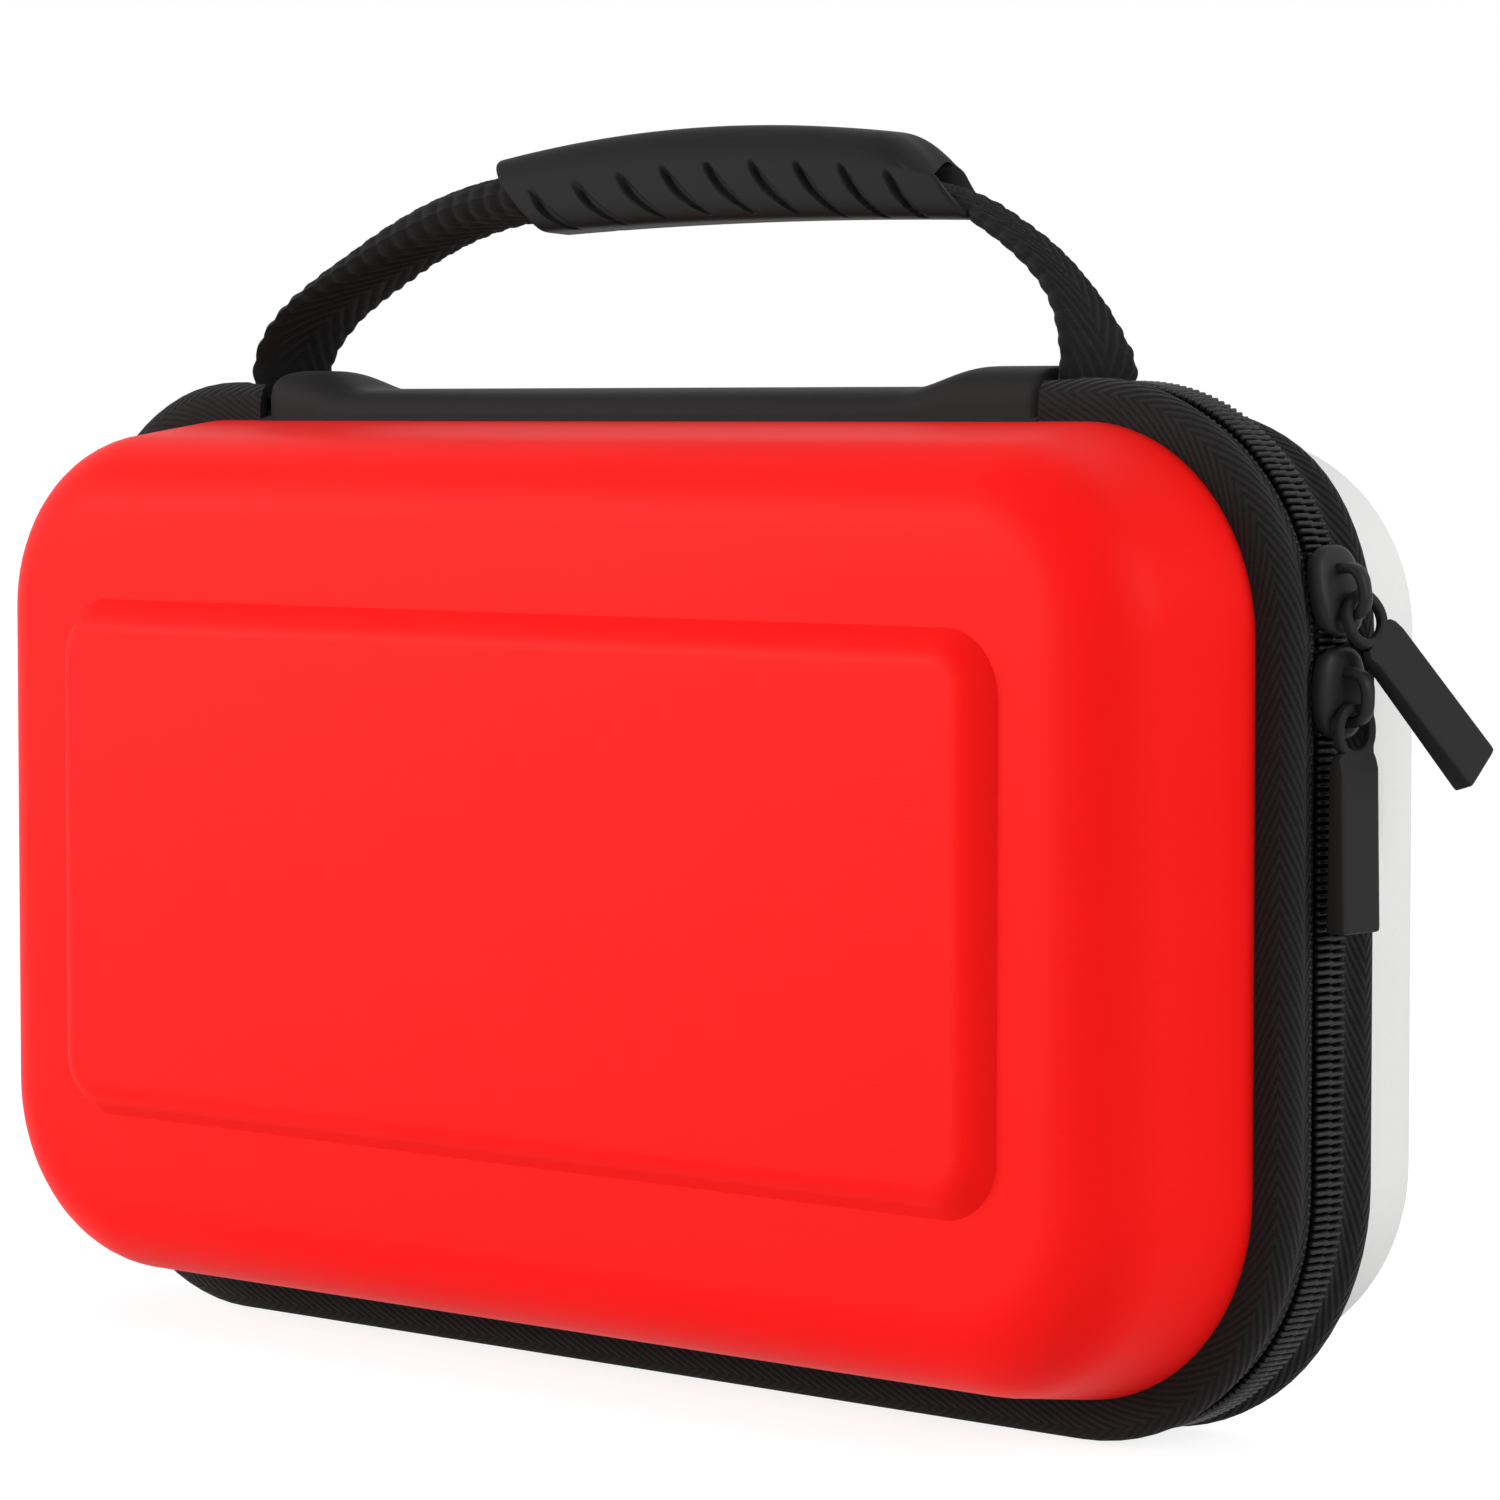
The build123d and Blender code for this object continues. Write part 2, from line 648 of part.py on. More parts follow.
# Binding sewn round the edge of the net
with BuildPart() as net_binding:
    with BuildSketch(facing_front(net_reach - net_thickness - net_binding_thickness)):
        RectangleRounded(*band_size(net_inset))
        RectangleRounded(*band_size(net_inset + net_binding_width), mode=Mode.SUBTRACT)
    extrude(amount=net_binding_thickness)
net_binding.part.label = "net_binding"
export_step(net_binding.part, "parts/net_binding.step")

# Tape and half chains of the pocket zip, with the slit that the slider runs in
with BuildPart() as pocket_zip_tape:
    with BuildSketch(facing_front(net_reach - net_thickness)):
        with Locations((0, zip_rise)):
            Rectangle(pocket_zip_length, pocket_zip_width)
            Rectangle(pocket_zip_length - pocket_zip_width, 2 * pocket_slit_half, mode=Mode.SUBTRACT)
    extrude(amount=net_thickness)
    with BuildSketch(facing_front(net_reach - net_thickness)):
        with Locations((0, zip_rise)):
            Rectangle(pocket_zip_length, 2 * pocket_coil_half_width)
            Rectangle(pocket_zip_length, 2 * pocket_slit_half, mode=Mode.SUBTRACT)
    extrude(amount=-pocket_coil_height)
pocket_zip_tape.part.label = "pocket_zip_tape"
export_step(pocket_zip_tape.part, "parts/pocket_zip_tape.step")

# Slider and pull of the pocket zip: the same pattern at a smaller scale
pocket_chain_face = net_reach - net_thickness - pocket_coil_height - coil_drop * pocket_scale
pocket_seat = Plane(
    origin=(pocket_slider_start_x, -pocket_chain_face, pocket_zip_height), x_dir=(0, 0, 1), z_dir=(0, 1, 0)
)
pocket_bar = pocket_seat.location * Location((0, pull_bar_along * pocket_scale, pull_bar_out * pocket_scale))
with BuildPart() as pocket_zip_slider:
    with Locations(pocket_seat.location):
        add(scale(zip_slider.part, by=pocket_scale, mode=Mode.PRIVATE))
pocket_zip_slider.part.label = "pocket_zip_slider"
export_step(pocket_zip_slider.part, "parts/pocket_zip_slider.step")

with BuildPart() as pocket_zip_pull:
    with Locations(pocket_bar):
        add(scale(zip_pull.part, by=pocket_scale, mode=Mode.PRIVATE))
pocket_zip_pull.part.label = "pocket_zip_pull"
export_step(pocket_zip_pull.part, "parts/pocket_zip_pull.step")
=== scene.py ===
import math

import bmesh
import bpy
from mathutils import Matrix, Vector


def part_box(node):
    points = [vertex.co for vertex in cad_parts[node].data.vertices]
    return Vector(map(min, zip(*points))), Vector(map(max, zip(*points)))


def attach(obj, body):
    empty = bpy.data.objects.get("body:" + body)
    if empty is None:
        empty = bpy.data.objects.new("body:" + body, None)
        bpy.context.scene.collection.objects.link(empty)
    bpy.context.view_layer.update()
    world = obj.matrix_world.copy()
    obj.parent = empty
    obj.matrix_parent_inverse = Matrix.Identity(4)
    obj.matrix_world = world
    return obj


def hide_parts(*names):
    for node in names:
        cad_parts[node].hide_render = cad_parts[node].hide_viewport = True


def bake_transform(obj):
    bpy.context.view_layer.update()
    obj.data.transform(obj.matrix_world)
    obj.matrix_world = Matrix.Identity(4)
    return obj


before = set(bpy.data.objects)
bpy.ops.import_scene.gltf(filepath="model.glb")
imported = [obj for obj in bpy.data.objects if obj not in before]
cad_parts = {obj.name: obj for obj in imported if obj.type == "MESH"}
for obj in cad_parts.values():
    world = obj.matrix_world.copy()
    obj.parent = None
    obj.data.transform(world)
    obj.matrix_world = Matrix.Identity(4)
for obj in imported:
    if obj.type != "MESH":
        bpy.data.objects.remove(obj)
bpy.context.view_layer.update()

# Back shell
# Foam sheet faced with white woven laminate and lined with dark cloth, pressed hot into a deep
# cup. Its rim stands out as a flange, which is sewn into the rear zip tape.
mm = 0.001
case_width = 268.0
case_height = 160.0
corner_radius = 38.5
low_corner_radius = 40.3
seam_reach = 10.8
rim_step = 6.5
shell_depth = 29.2
shell_wall = 4.0
wall_draft = 8.0
edge_radius = 14.0
flange_back = 6.85
flange_front = 9.25
flange_inset = 1.55
flange_chamfer = 1.9
zip_end = 92.5
hinge_height = case_height - rim_step
sag_depth = 3.4
sag_middle = 103.0
sag_half_run = 27.0
chain_edge = 4.5
chain_slope_run = 1.5
side_steps = 30
corner_steps = 18
round_steps = 12


def outline(width, height, radius, low_radius):
    """Points (x, z) clockwise round a rectangle with round corners, from its top left."""
    corners = radius, radius, low_radius, low_radius, radius
    points = []
    for turn, (run, rise) in enumerate(((width, height), (height, width)) * 2):
        quarter = math.radians(-90 * turn)
        before, after = corners[turn : turn + 2]
        flat = run - before - after
        side = [(before - run / 2 + flat * step / side_steps, rise / 2) for step in range(side_steps)]
        for step in range(corner_steps):
            angle = math.radians(90 - 90 * step / corner_steps)
            side.append((run / 2 - after + after * math.cos(angle), rise / 2 - after + after * math.sin(angle)))
        for u, v in side:
            x = u * math.cos(quarter) - v * math.sin(quarter)
            z = u * math.sin(quarter) + v * math.cos(quarter)
            points.append((x, z + case_height / 2))
    return points


def band(inset):
    """Outline of the case stepped in by the inset."""
    corners = corner_radius - inset, low_corner_radius - inset
    return outline(case_width - 2 * inset, case_height - 2 * inset, *corners)


def ring(points, y):
    """Outline points set at one depth."""
    return [(x, y, z) for x, z in points]


def trimmed(points):
    """Outline with its top cut off along the hinge, between the zip's ends."""
    return [(x, min(z, hinge_height) if abs(x) < zip_end else z) for x, z in points]


def drafted(inset, reach, depth, radius, draft):
    """(inset, reach) along a leaning wall and round its edge to the flat."""
    slope = math.radians(draft)
    corner = inset + depth * math.tan(slope)
    centre = corner + radius * math.tan((math.pi / 2 - slope) / 2)
    wall = depth - radius + radius * math.sin(slope)
    rows = [(inset + wall * share * math.tan(slope), reach + wall * share) for share in (0, 0.05, 0.5, 0.9)]
    for step in range(round_steps + 1):
        angle = slope + (math.pi / 2 - slope) * step / round_steps
        rows.append((centre - radius * math.cos(angle), reach + depth - radius + radius * math.sin(angle)))
    return rows


def lengths(points):
    """Running length along a line of points."""
    sums = [0.0]
    for first, second in zip(points, points[1:]):
        sums.append(sums[-1] + math.dist(first, second))
    return sums


def skin(name, rows, materials, capped=True, joined=False, crease=40.0):
    """Mesh over closed rows of points in millimetres, with its UV map in millimetres along and round them."""
    count = len(rows[0])
    middle = list(rows[len(rows) // 2])
    around = lengths(middle + middle[:1])
    along = lengths([row[0] for row in rows] + [rows[0][0]])
    faces = []
    for row in range(len(rows) if joined else len(rows) - 1):
        for spot in range(count):
            faces.append(((row, spot), (row, spot + 1), (row + 1, spot + 1), (row + 1, spot)))
    if capped and not joined:
        faces.append(tuple((0, spot) for spot in range(count)))
        faces.append(tuple((len(rows) - 1, spot) for spot in range(count)))
    mesh = bpy.data.meshes.new(name)
    vertices = [[part * mm for part in point] for row in rows for point in row]
    indices = [[row % len(rows) * count + spot % count for row, spot in face] for face in faces]
    mesh.from_pydata(vertices, [], indices)
    chart = mesh.uv_layers.new(name="UVMap")
    chart.data.foreach_set("uv", [v for f in faces for row, spot in f for v in (along[row], around[spot])])
    for material in materials:
        mesh.materials.append(material)
    return settled(name, mesh, crease)


def settled(name, mesh, crease=40.0):
    """Object at the origin from a closed mesh, its faces turned outwards and smooth between creases."""
    work = bmesh.new()
    work.from_mesh(mesh)
    bmesh.ops.recalc_face_normals(work, faces=work.faces)
    work.to_mesh(mesh)
    work.free()
    mesh.polygons.foreach_set("use_smooth", [True] * len(mesh.polygons))
    mesh.set_sharp_from_angle(angle=math.radians(crease))
    piece = bpy.data.objects.new(name, mesh)
    bpy.context.scene.collection.objects.link(piece)
    return piece


def add(tree, kind, inputs=None, **settings):
    """One node; its inputs are values or the sockets that feed them."""
    made = tree.nodes.new(kind)
    for key, value in settings.items():
        setattr(made, key, value)
    for key, value in (inputs or {}).items():
        if isinstance(value, bpy.types.NodeSocket):
            tree.links.new(value, made.inputs[key])
        else:
            made.inputs[key].default_value = value
    return made


def maths(tree, operation, *values):
    """One sum on sockets and numbers."""
    return add(tree, "ShaderNodeMath", dict(enumerate(values)), operation=operation).outputs[0]


def finish_of(name, roughness, **inputs):
    """New material with its shader's even values set."""
    material = bpy.data.materials.new(name)
    material.use_nodes = True
    shader = material.node_tree.nodes["Principled BSDF"]
    shader.inputs["Roughness"].default_value = roughness
    for key, value in inputs.items():
        shader.inputs[key.replace("_", " ")].default_value = value
    return material, material.node_tree, shader


def place_in_mm(tree, scale=(1.0, 1.0, 1.0)):
    """Object coordinates in millimetres, stretched by the scale."""
    where = add(tree, "ShaderNodeTexCoord").outputs["Object"]
    stretch = [1000 * part for part in scale]
    return add(tree, "ShaderNodeVectorMath", {0: where, 1: stretch}, operation="MULTIPLY").outputs[0]


def noise(tree, where, scale, detail=2.0):
    """Noise value at a place."""
    return add(tree, "ShaderNodeTexNoise", {"Vector": where, "Scale": scale, "Detail": detail}).outputs["Fac"]


def dress(tree, shader, share, low, high, height, strength, distance):
    """Mixes two colours by a share and raises the surface by a height."""
    mixed = add(tree, "ShaderNodeMix", {0: share, 6: (*low, 1), 7: (*high, 1)}, data_type="RGBA")
    tree.links.new(mixed.outputs[2], shader.inputs["Base Color"])
    bump = add(tree, "ShaderNodeBump", {"Height": height, "Strength": strength, "Distance": distance * mm})
    tree.links.new(bump.outputs[0], shader.inputs["Normal"])


def laminate(name, low, high, roughness):
    """Fine woven face: short level threads, a faint cross weave and slow blotches in the dye."""
    material, tree, shader = finish_of(name, roughness, Specular_IOR_Level=0.08, Sheen_Weight=0.02)
    where = place_in_mm(tree)
    threads = noise(tree, place_in_mm(tree, (0.18, 1.6, 2.4)), 1.0)
    blotches = noise(tree, where, 0.05, 3.0)
    axes = add(tree, "ShaderNodeSeparateXYZ", {0: where}).outputs
    level = maths(tree, "SINE", maths(tree, "MULTIPLY", axes[2], 2 * math.pi / 0.7))
    upright = maths(tree, "SINE", maths(tree, "MULTIPLY", axes[0], 2 * math.pi / 0.9))
    weave = maths(tree, "MULTIPLY", level, upright)
    share = maths(tree, "ADD", maths(tree, "MULTIPLY", threads, 0.5), maths(tree, "MULTIPLY", blotches, 0.5))
    height = maths(tree, "ADD", threads, maths(tree, "MULTIPLY", weave, 0.2))
    dress(tree, shader, share, low, high, height, 0.25, 0.06)
    return material


def velour(name, low, high):
    """Short brushed pile."""
    material, tree, shader = finish_of(name, 0.95, Sheen_Weight=0.35, Sheen_Roughness=0.6)
    pile = noise(tree, place_in_mm(tree), 2.2, 4.0)
    brushed = noise(tree, place_in_mm(tree, (1.0, 1.0, 0.4)), 0.06, 3.0)
    share = maths(tree, "ADD", maths(tree, "MULTIPLY", pile, 0.4), maths(tree, "MULTIPLY", brushed, 0.6))
    dress(tree, shader, share, low, high, pile, 0.5, 0.3)
    return material


def sagged(x, z, y, inset):
    """Point of a rim; the rear one sags beside the ends of the spine."""
    off = min(abs(abs(x) - sag_middle) / sag_half_run, 1)
    near_top = min(max((z - case_height / 2) / corner_radius, 0), 1)
    beyond_chain = min(max((y - chain_edge) / chain_slope_run, 0), 1)
    sag = sag_depth * (1 - off * off) ** 2 * near_top * beyond_chain * (1 - inset / rim_step)
    return (x, y, z - sag)


def shell_rows(side):
    """Rings of one cup, from its inside floor over the rim and flange to its outside flat."""
    cavity = rim_step + shell_wall
    inside = drafted(cavity, seam_reach, shell_depth - shell_wall, edge_radius - shell_wall, wall_draft)
    rows = [ring(band(inset), side * reach) for inset, reach in reversed(inside)]
    for inset, reach in (
        (cavity, flange_back),
        (flange_inset, flange_back),
        (flange_inset, flange_front - flange_chamfer),
        (flange_inset + flange_chamfer, flange_front),
        (rim_step, flange_front),
    ):
        rim = trimmed(band(inset))
        rows.append([sagged(x, z, side * reach, min(inset, rim_step)) for x, z in rim])
    rows += [
        ring(band(inset), side * reach)
        for inset, reach in drafted(rim_step, seam_reach, shell_depth, edge_radius, wall_draft)
    ]
    return rows, len(inside) + 1


def lined(piece, lining_rows):
    """Gives the faces of the first rows and the inside floor the second material."""
    count = len(band(0))
    floor = len(piece.data.polygons) - 2
    for face in piece.data.polygons:
        if face.index < lining_rows * count or face.index == floor:
            face.material_index = 1


lining_velour = velour("dark_lining", (0.018, 0.018, 0.019), (0.04, 0.04, 0.042))
white_laminate = laminate("white_laminate", (0.74, 0.74, 0.735), (0.82, 0.82, 0.815), 0.55)
back_rows, lining_rows = shell_rows(1)
back_shell = skin("back_shell_cup", back_rows, [white_laminate, lining_velour])
lined(back_shell, lining_rows)
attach(back_shell, "case_back")
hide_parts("back_shell")

# Front shell
# The same pressed cup with a red face. A rounded panel stands out of its front, pressed in the
# same stroke, with a soft upper edge and a sharp crease at its foot.
panel_width = 206.0
panel_height = 87.0
panel_corner = 10.0
panel_least_corner = 4.0
panel_rise = 4.0
panel_draft = 40.0
panel_round = 5.0
face_reach = seam_reach + shell_depth


def panel(inset):
    """Outline of the raised panel stepped in by the inset."""
    corner = max(panel_corner - inset, panel_least_corner)
    return outline(panel_width - 2 * inset, panel_height - 2 * inset, corner, corner)


red_laminate = laminate("red_laminate", (0.90, 0.004, 0.003), (0.95, 0.008, 0.006), 0.5)
front_rows, lining_rows = shell_rows(-1)
for margin in (6.0, 1.5, 0.4):
    front_rows.append(ring(panel(-margin), -face_reach))
for inset, reach in drafted(0, face_reach, panel_rise, panel_round, panel_draft):
    front_rows.append(ring(panel(inset), -reach))
for inset in (8.0, 20.0, 34.0):
    front_rows.append(ring(panel(inset), -face_reach - panel_rise))
front_shell = skin("front_shell_cup", front_rows, [red_laminate, lining_velour])
lined(front_shell, lining_rows)
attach(front_shell, "lid")
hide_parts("front_shell")

# Zip tapes
# Black herringbone tape folded over each flange and sewn down beside the chain, so that it
# stands out as a soft bumper on both sides of a groove.
bezier_steps = 8


def bezier(*ends):
    """Points along one cubic curve, without its last."""
    curve = []
    for step in range(bezier_steps):
        t = step / bezier_steps
        shares = ((1 - t) ** 3, 3 * t * (1 - t) ** 2, 3 * t * t * (1 - t), t**3)
        curve.append(tuple(sum(s * end[axis] for s, end in zip(shares, ends)) for axis in (0, 1)))
    return curve


def band_run(inset, end=zip_end):
    """Points (x, z) along the zip, from its right end clockwise to its left end."""
    loop = band(inset)
    top = case_height - inset
    return [(end, top)] + loop[side_steps:] + loop[:1] + [(-end, top)]


def twill(name, low, high, rib, steep, column, distance):
    """Herringbone on the UV map: slanted ribs that turn back at each column, and fine threads across them."""
    material, tree, shader = finish_of(name, 0.85, Sheen_Weight=0.05, Specular_IOR_Level=0.08)
    chart = add(tree, "ShaderNodeTexCoord").outputs["UV"]
    along, across, _ = add(tree, "ShaderNodeSeparateXYZ", {0: chart}).outputs
    folded = maths(tree, "MULTIPLY", maths(tree, "PINGPONG", across, column), steep)
    phase = maths(tree, "MULTIPLY", maths(tree, "ADD", along, folded), 2 * math.pi / (rib * steep))
    ribs = maths(tree, "SINE", phase)
    threads = noise(tree, place_in_mm(tree), 2.8)
    height = maths(tree, "ADD", ribs, maths(tree, "MULTIPLY", threads, 0.8))
    share = maths(tree, "ADD", maths(tree, "MULTIPLY", ribs, 0.3), threads)
    dress(tree, shader, share, low, high, height, 0.7, distance)
    return material


tape_outside = (
    bezier((6.5, 11.0), (2.4, 11.7), (0.0, 10.4), (0.0, 8.3))
    + bezier((0.0, 8.3), (0.0, 6.7), (1.3, 6.2), (1.5, 5.0))
    + bezier((1.5, 5.0), (1.6, 4.3), (1.6, 3.8), (1.7, 3.1))
)
tape_inside = [(2.4, 3.1), (2.3, 5.0), (1.5, 6.2), (1.5, 7.4), (3.4, 9.3), (6.5, 9.3)]
tape_twill = twill("black_herringbone", (0.007, 0.007, 0.007), (0.022, 0.022, 0.022), 1.1, 2.0, 4.4, 0.14)
tape_sections = tape_outside + tape_inside
strap_side = 9.2
spine_end = 86.3
tape_runs = []
for inset, reach in tape_sections:
    tape_runs.append((band_run(inset, spine_end if reach > strap_side else zip_end), inset, reach))
for label, body, side in (("front", "lid", -1), ("rear", "case_back", 1)):
    rows = [
        [sagged(*run[spot], side * reach, inset) for run, inset, reach in tape_runs]
        for spot in range(len(tape_runs[0][0]))
    ]
    tape = skin(f"{label}_zip_tape_fold", rows, [tape_twill])
    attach(tape, body)
    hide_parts(f"{label}_zip_tape")

# Zip chain
# Two black nylon coils, each wound round a cord and sewn along the edge of its tape; their turns
# interlock in the middle. A row of lock stitches holds each coil down.
coil_pitch = 1.25
coil_inset = 1.0
stitch_inset = 1.65
stitch_reach = 3.9


def repeat_tree():
    """Sets copies of one shape at even steps along a path that lies across the case."""
    tree = bpy.data.node_groups.new("even_steps_along_a_path", "GeometryNodeTree")
    for label, kind in (("Path", "Geometry"), ("Shape", "Object"), ("Pitch", "Float"), ("Finish", "Material")):
        tree.interface.new_socket(label, in_out="INPUT", socket_type=f"NodeSocket{kind}")
    tree.interface.new_socket("Row", in_out="OUTPUT", socket_type="NodeSocketGeometry")
    given = add(tree, "NodeGroupInput").outputs
    curve = add(tree, "GeometryNodeMeshToCurve", {"Mesh": given["Path"]}).outputs[0]
    steps = add(tree, "GeometryNodeCurveToPoints", {"Curve": curve, "Length": given["Pitch"]}, mode="LENGTH")
    turned = add(
        tree,
        "FunctionNodeAlignRotationToVector",
        {"Vector": steps.outputs["Tangent"]},
        axis="X",
        pivot_axis="Y",
    )
    shape = add(tree, "GeometryNodeObjectInfo", {"Object": given["Shape"]})
    copies = add(
        tree,
        "GeometryNodeInstanceOnPoints",
        {
            "Points": steps.outputs["Points"],
            "Instance": shape.outputs["Geometry"],
            "Rotation": turned.outputs[0],
        },
    )
    real = add(tree, "GeometryNodeRealizeInstances", {0: copies.outputs[0]})
    done = add(tree, "GeometryNodeSetMaterial", {"Geometry": real.outputs[0], "Material": given["Finish"]})
    add(tree, "NodeGroupOutput", {0: done.outputs[0]})
    return tree


def grown(name, tree, points, edges, values):
    """Plain mesh object that a tree makes from points in millimetres and the edges between them."""
    mesh = bpy.data.meshes.new(name)
    mesh.from_pydata([[part * mm for part in point] for point in points], edges, [])
    carrier = bpy.data.objects.new(name, mesh)
    bpy.context.scene.collection.objects.link(carrier)
    rule = carrier.modifiers.new("rule", "NODES")
    rule.node_group = tree
    for socket in tree.interface.items_tree:
        if socket.name in values:
            rule[socket.identifier] = values[socket.name]
    made = bpy.data.meshes.new_from_object(carrier.evaluated_get(bpy.context.evaluated_depsgraph_get()))
    bpy.data.objects.remove(carrier)
    made.name = name
    piece = bpy.data.objects.new(name, made)
    bpy.context.scene.collection.objects.link(piece)
    return piece


def in_a_row(name, points, shape, pitch, material):
    """Copies of a small shape along a path."""
    edges = [(spot, spot + 1) for spot in range(len(points) - 1)]
    values = {"Shape": shape, "Pitch": pitch * mm, "Finish": material}
    return grown(name, repeat, points, edges, values)


def bead(name, sections, sides):
    """Small round shape strung along Y: sections of (y, half length, half height)."""
    rows = []
    for y, long, high in sections:
        turns = [2 * math.pi * side / sides for side in range(sides)]
        rows.append([(long * math.cos(turn), y, high * math.sin(turn)) for turn in turns])
    return skin(name, rows, [], crease=80.0)


def nylon(name, low, high, roughness):
    """Smooth drawn nylon with faint streaks."""
    material, tree, shader = finish_of(name, roughness, Specular_IOR_Level=0.2)
    streaks = noise(tree, place_in_mm(tree), 1.4, 3.0)
    dress(tree, shader, streaks, low, high, streaks, 0.15, 0.05)
    return material


repeat = repeat_tree()
chain_nylon = nylon("black_chain_nylon", (0.008, 0.008, 0.008), (0.018, 0.018, 0.018), 0.42)
for label, body, side in (("front", "lid", -1), ("rear", "case_back", 1)):
    turn_sections = (
        (side * 3.3, 0.18, 0.3),
        (side * 3.05, 0.42, 0.6),
        (side * 1.4, 0.4, 0.58),
        (side * 0.5, 0.43, 0.56),
        (side * 0.05, 0.52, 0.58),
        (side * -0.35, 0.43, 0.5),
        (side * -0.55, 0.18, 0.25),
    )
    coil_turn = bead("coil_turn", turn_sections, 8)
    start = zip_end + (coil_pitch / 2 if side > 0 else 0.4)
    run = band_run(coil_inset)
    path = [(start, 0, run[0][1])] + [(x, 0, z) for x, z in run[1:]]
    coil = in_a_row(f"{label}_zip_coil_turns", path, coil_turn, coil_pitch, chain_nylon)
    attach(coil, body)
    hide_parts(f"{label}_zip_coil")
    stitch_sections = ((-0.45, 0.2, 0.1), (-0.25, 0.45, 0.3), (0.25, 0.45, 0.3), (0.45, 0.2, 0.1))
    lock_stitch = bead("lock_stitch", stitch_sections, 8)
    run = band_run(stitch_inset)
    path = [(start + coil_pitch / 2, side * stitch_reach, run[0][1])]
    path += [(x, side * stitch_reach, z) for x, z in run[1:]]
    stitches = in_a_row(f"{label}_zip_stitches", path, lock_stitch, coil_pitch, chain_nylon)
    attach(stitches, body)
    bpy.data.objects.remove(coil_turn)
    bpy.data.objects.remove(lock_stitch)

# Rim bindings
# Grosgrain tape folded over the raw edge inside each rim and sewn through with one row of
# stitches.
binding_width = 8.0
binding_thickness = 1.0
binding_stitch_pitch = 3.2


def grosgrain(name, low, high, rib):
    """Ribbed ribbon: cords across its length on the UV map."""
    material, tree, shader = finish_of(name, 0.8, Sheen_Weight=0.2)
    chart = add(tree, "ShaderNodeTexCoord").outputs["UV"]
    along, across, _ = add(tree, "ShaderNodeSeparateXYZ", {0: chart}).outputs
    ribs = maths(tree, "SINE", maths(tree, "MULTIPLY", across, 2 * math.pi / rib))
    fuzz = noise(tree, place_in_mm(tree), 3.0)
    share = maths(tree, "ADD", maths(tree, "MULTIPLY", ribs, 0.3), fuzz)
    dress(tree, shader, share, low, high, ribs, 0.6, 0.12)
    return material


binding_ribbon = grosgrain("black_binding", (0.008, 0.008, 0.009), (0.025, 0.025, 0.027), 0.9)
thread = nylon("black_thread", (0.02, 0.02, 0.02), (0.045, 0.045, 0.045), 0.6)
binding_outer = rim_step + shell_wall - binding_width
binding_inner = rim_step + shell_wall
binding_face = flange_back - binding_thickness
for label, body, side in (("front", "lid", -1), ("rear", "case_back", 1)):
    rows = [
        ring(trimmed(band(inset)), side * reach)
        for inset, reach in (
            (binding_outer, flange_back),
            (binding_outer, binding_face + 0.3),
            (binding_outer + 0.4, binding_face),
            (binding_outer + binding_width / 2, binding_face - 0.15),
            (binding_inner - 0.4, binding_face),
            (binding_inner, binding_face + 0.3),
            (binding_inner, flange_back),
        )
    ]
    binding = skin(f"{label}_rim_binding_ribbon", rows, [binding_ribbon], joined=True)
    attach(binding, body)
    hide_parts(f"{label}_rim_binding")
    stitch_sections = ((-0.35, 0.7, 0.1), (-0.2, 1.1, 0.25), (0.2, 1.1, 0.25), (0.35, 0.7, 0.1))
    stitch = bead("binding_stitch", stitch_sections, 8)
    seam = [(x, side * (binding_face - 0.1), z) for x, z in band(binding_inner - 1.6)]
    seams = in_a_row(f"{label}_rim_binding_seam", seam + seam[:1], stitch, binding_stitch_pitch, thread)
    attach(seams, body)
    bpy.data.objects.remove(stitch)

# Spine pad
# Soft black sheet over a foam core along the top, sewn down to both shells as the hinge. It swells
# at both ends, where the feet of the handle are sewn in under it.
spine_half_length = 86.0
spine_half_width = 10.1
spine_base = hinge_height + 0.2
spine_edge_rise = 1.4
spine_crown = 5.1
mound_edge_rise = 3.8
mound_crown = 8.2
mound_runs = {-1: (66.0, 81.0), 1: (56.0, 71.0)}
spine_end_round = 1.6
spine_end_tuck = 0.2
spine_rows = 150
spine_sides = 40


def eased(share):
    """Smooth step from 0 to 1."""
    held = min(max(share, 0), 1)
    return held * held * (3 - 2 * held)


def soft_sheet(name, low, high):
    """Smooth coated knit with a fine grain and slow dents."""
    material, tree, shader = finish_of(name, 0.6, Sheen_Weight=0.03, Specular_IOR_Level=0.07)
    grain = noise(tree, place_in_mm(tree), 2.4, 3.0)
    dents = noise(tree, place_in_mm(tree), 0.12, 2.0)
    height = maths(tree, "ADD", maths(tree, "MULTIPLY", grain, 0.2), dents)
    dress(tree, shader, grain, low, high, height, 0.25, 0.25)
    return material


spine_sheet = soft_sheet("black_spine_sheet", (0.010, 0.010, 0.010), (0.018, 0.018, 0.018))
rows = []
for step in range(spine_rows + 1):
    x = spine_half_length * (2 * step / spine_rows - 1)
    mound_start, mound_full = mound_runs[-1 if x < 0 else 1]
    swell = eased((abs(x) - mound_start) / (mound_full - mound_start))
    end = max(0.0, (abs(x) - spine_half_length + spine_end_round) / spine_end_round)
    tuck = 1 - spine_end_tuck * end * end
    half = spine_half_width * tuck
    edge_rise = spine_edge_rise + (mound_edge_rise - spine_edge_rise) * swell
    crown = (spine_crown + (mound_crown - spine_crown) * swell) * tuck
    knee = spine_base + edge_rise * 0.5
    row = [(x, -half, spine_base), (x, -half, knee)]
    for side in range(spine_sides + 1):
        share = 2 * side / spine_sides - 1
        lift = (1 - abs(share) ** 3) ** 0.45
        row.append((x, half * share, spine_base + edge_rise + (crown - edge_rise) * lift))
    row += [(x, half, knee), (x, half, spine_base)]
    rows.append(row)
